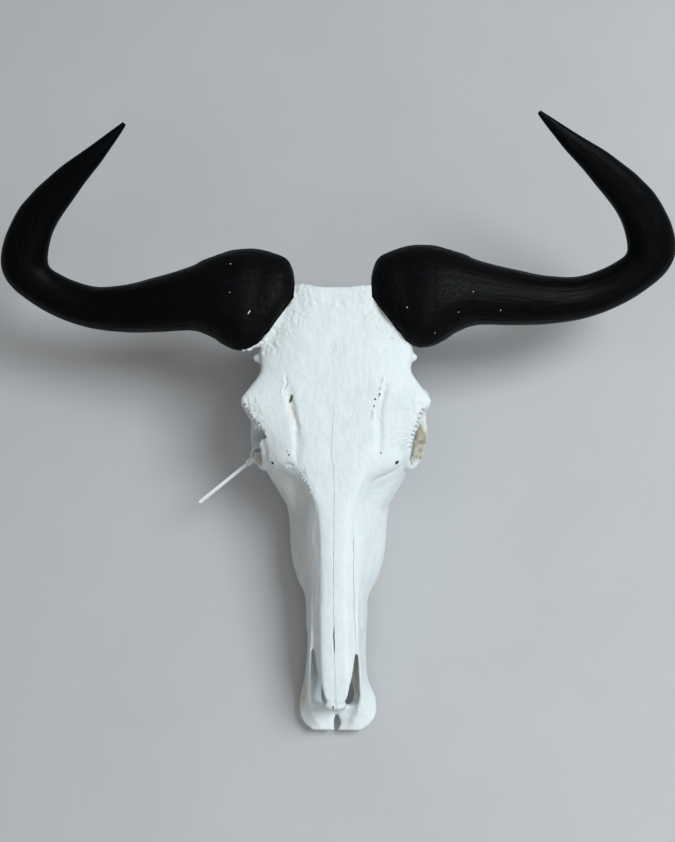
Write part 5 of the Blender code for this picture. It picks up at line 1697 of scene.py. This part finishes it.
class SKULL_OT_cable_tie(bpy.types.Operator):
    """Model the cable tie: strap, lock and straight tail."""

    bl_idname = "skull.cable_tie"
    bl_label = "Cable tie"

    def execute(self, context):
        settings = context.scene.skull_tie
        run = TIE_RUN.normalized()
        side = run.cross(Vector((0, 0, 1))).normalized()
        top = side.cross(run).normalized()
        bottom = 1.0 - settings.groove / MM * 2 / TIE_THICK
        profile = ((1.0, 0.5), (0.85, 1.0), (0.5, 1.0), (0.42, bottom), (-0.42, bottom), (-0.5, 1.0),
                   (-0.85, 1.0), (-1.0, 0.5), (-1.0, -0.5), (-0.85, -1.0), (0.85, -1.0), (1.0, -0.5))
        rings = []
        for k in range(TIE_RINGS):
            turn = 2 * math.pi * k / TIE_RINGS
            out = side * math.cos(turn) * TIE_HALF[0] + top * math.sin(turn) * TIE_HALF[1]
            rings.append(strap_ring(profile, TIE_CENTRE + out, run, out.normalized()))
        tie = skin("cable_tie_strap", rings, closed=True)
        reach = (TIE_TAIL_END - TIE_LOCK_PLACE).length
        away = (TIE_TAIL_END - TIE_LOCK_PLACE).normalized()
        flat = away.cross(Vector((0, 0, 1))).normalized()
        up = flat.cross(away).normalized()
        half, wide, high = (size / 2 for size in TIE_LOCK)
        steps = [(a - half, w) for a, w in TIE_LOCK_FRONT] + [(half - a, w) for a, w in TIE_LOCK_BACK]
        lock = skin("lock", [oval(TIE_LOCK_PLACE + away * a, flat, up, wide * w, high * w, 28, 7.0)
                             for a, w in steps])
        rings = []
        for k in range(TIE_TAIL_RINGS):
            along = reach * k / (TIE_TAIL_RINGS - 1)
            left = min((reach - along) / TIE_TIP, 1.0)
            narrow = max(math.sqrt(max(0.0, 1 - (1 - left) ** 2)), TIE_TIP_WIDTH)
            rings.append(strap_ring(profile, TIE_LOCK_PLACE + away * along, flat, up, narrow))
        for piece in (lock, skin("tail", rings)):
            carve(tie, piece, "UNION")
        offset = coords(tie) - np.array(TIE_LOCK_PLACE)
        lie = np.stack([offset @ np.array(way) for way in (flat, up, away)], axis=1)
        lay(tie, lie)
        paint(tie, "strap", ramp(lie[:, Z], half + 1.0, half + 3.0) * ramp(lie[:, Y], 0.0, 0.3))
        finish(tie, nylon_look(settings), "nylon", "cable_tie")
        return {"FINISHED"}


def turned(side, up, back, place):
    """The matrix that turns an object to three directions at a place."""
    matrix = Matrix.Identity(4)
    for k in range(3):
        matrix[k][0], matrix[k][1], matrix[k][2], matrix[k][3] = side[k], up[k], back[k], place[k]
    return matrix


class SKULL_OT_stage(bpy.types.Operator):
    """Set up the floor, the soft lights and the camera."""

    bl_idname = "skull.stage"
    bl_label = "Floor, lights and camera"

    def execute(self, context):
        settings = context.scene.skull_stage
        bpy.ops.object.select_all(action="DESELECT")
        bpy.ops.mesh.primitive_plane_add(size=FLOOR_SIZE)
        floor = context.object
        floor.name = "floor"
        floor.data.materials.append(floor_look(settings))
        context.scene.view_settings.view_transform = "Standard"
        for name, place, target, size, share, colour in LIGHTS:
            bpy.ops.object.light_add(type="AREA", location=place)
            light = context.object
            light.name = name
            light.data.shape = "SQUARE"
            light.data.size = size
            light.data.energy = settings.key * share
            light.data.color = colour
            back = (Vector(place) - Vector(target)).normalized()
            side = Vector((0, 1, 0)).cross(back).normalized()
            light.matrix_world = turned(side, back.cross(side), back, place)
        world = bpy.data.worlds.new("room")
        context.scene.world = world
        world.use_nodes = True
        background = world.node_tree.nodes["Background"]
        background.inputs["Color"].default_value = ROOM_LIGHT
        background.inputs["Strength"].default_value = settings.fill
        down = Vector((0, -math.sin(CAMERA_TILT), math.cos(CAMERA_TILT)))
        across = Vector((1, 0, 0))
        side = across * math.cos(CAMERA_TURN) - down * math.sin(CAMERA_TURN)
        back = down * math.cos(CAMERA_TURN) + across * math.sin(CAMERA_TURN)
        target = MOVE + CAMERA_TARGET * MM
        place = target + back * CAMERA_DISTANCE * MM
        bpy.ops.object.camera_add(location=place)
        camera = context.object
        camera.name = "camera"
        camera.data.sensor_width = SENSOR
        camera.data.lens = CAMERA_FOCUS * SENSOR / max(PICTURE_SIZE)
        camera.matrix_world = turned(side, back.cross(side), back, place)
        context.scene.camera = camera
        return {"FINISHED"}


class SKULL_PT_panel(bpy.types.Panel):
    """The skull's pieces and sizes."""

    bl_label = "Wildebeest skull"
    bl_space_type = "VIEW_3D"
    bl_region_type = "UI"
    bl_category = "Skull"

    def draw(self, context):
        for name, operators in GROUPS:
            box = self.layout.box()
            group = getattr(context.scene, name)
            for key in group.__annotations__:
                box.prop(group, key)
            for operator in operators:
                box.operator(operator.bl_idname)


SETTINGS = (("skull_bones", BoneSettings), ("skull_horns", HornSettings), ("skull_tie", TieSettings),
            ("skull_stage", StageSettings))
GROUPS = (("skull_bones", (SKULL_OT_bones, SKULL_OT_teeth)),
          ("skull_horns", (SKULL_OT_horns,)),
          ("skull_tie", (SKULL_OT_cable_tie,)),
          ("skull_stage", (SKULL_OT_stage,)))
CLASSES = (BoneSettings, HornSettings, TieSettings, StageSettings, SKULL_OT_bones,
           SKULL_OT_teeth, SKULL_OT_horns, SKULL_OT_cable_tie, SKULL_OT_stage, SKULL_PT_panel)


def register():
    """Register the classes and the settings."""
    for item in CLASSES:
        bpy.utils.register_class(item)
    for name, group in SETTINGS:
        setattr(bpy.types.Scene, name, bpy.props.PointerProperty(type=group))


def unregister():
    """Take the settings and the classes away."""
    for name, _ in SETTINGS:
        delattr(bpy.types.Scene, name)
    for item in reversed(CLASSES):
        bpy.utils.unregister_class(item)


def main():
    """Model the skull and set the stage."""
    register()
    bpy.ops.skull.stage()
    bpy.ops.skull.horns()
    bpy.ops.skull.bones()
    bpy.ops.skull.teeth()
    bpy.ops.skull.cable_tie()


if __name__ == "__main__":
    main()
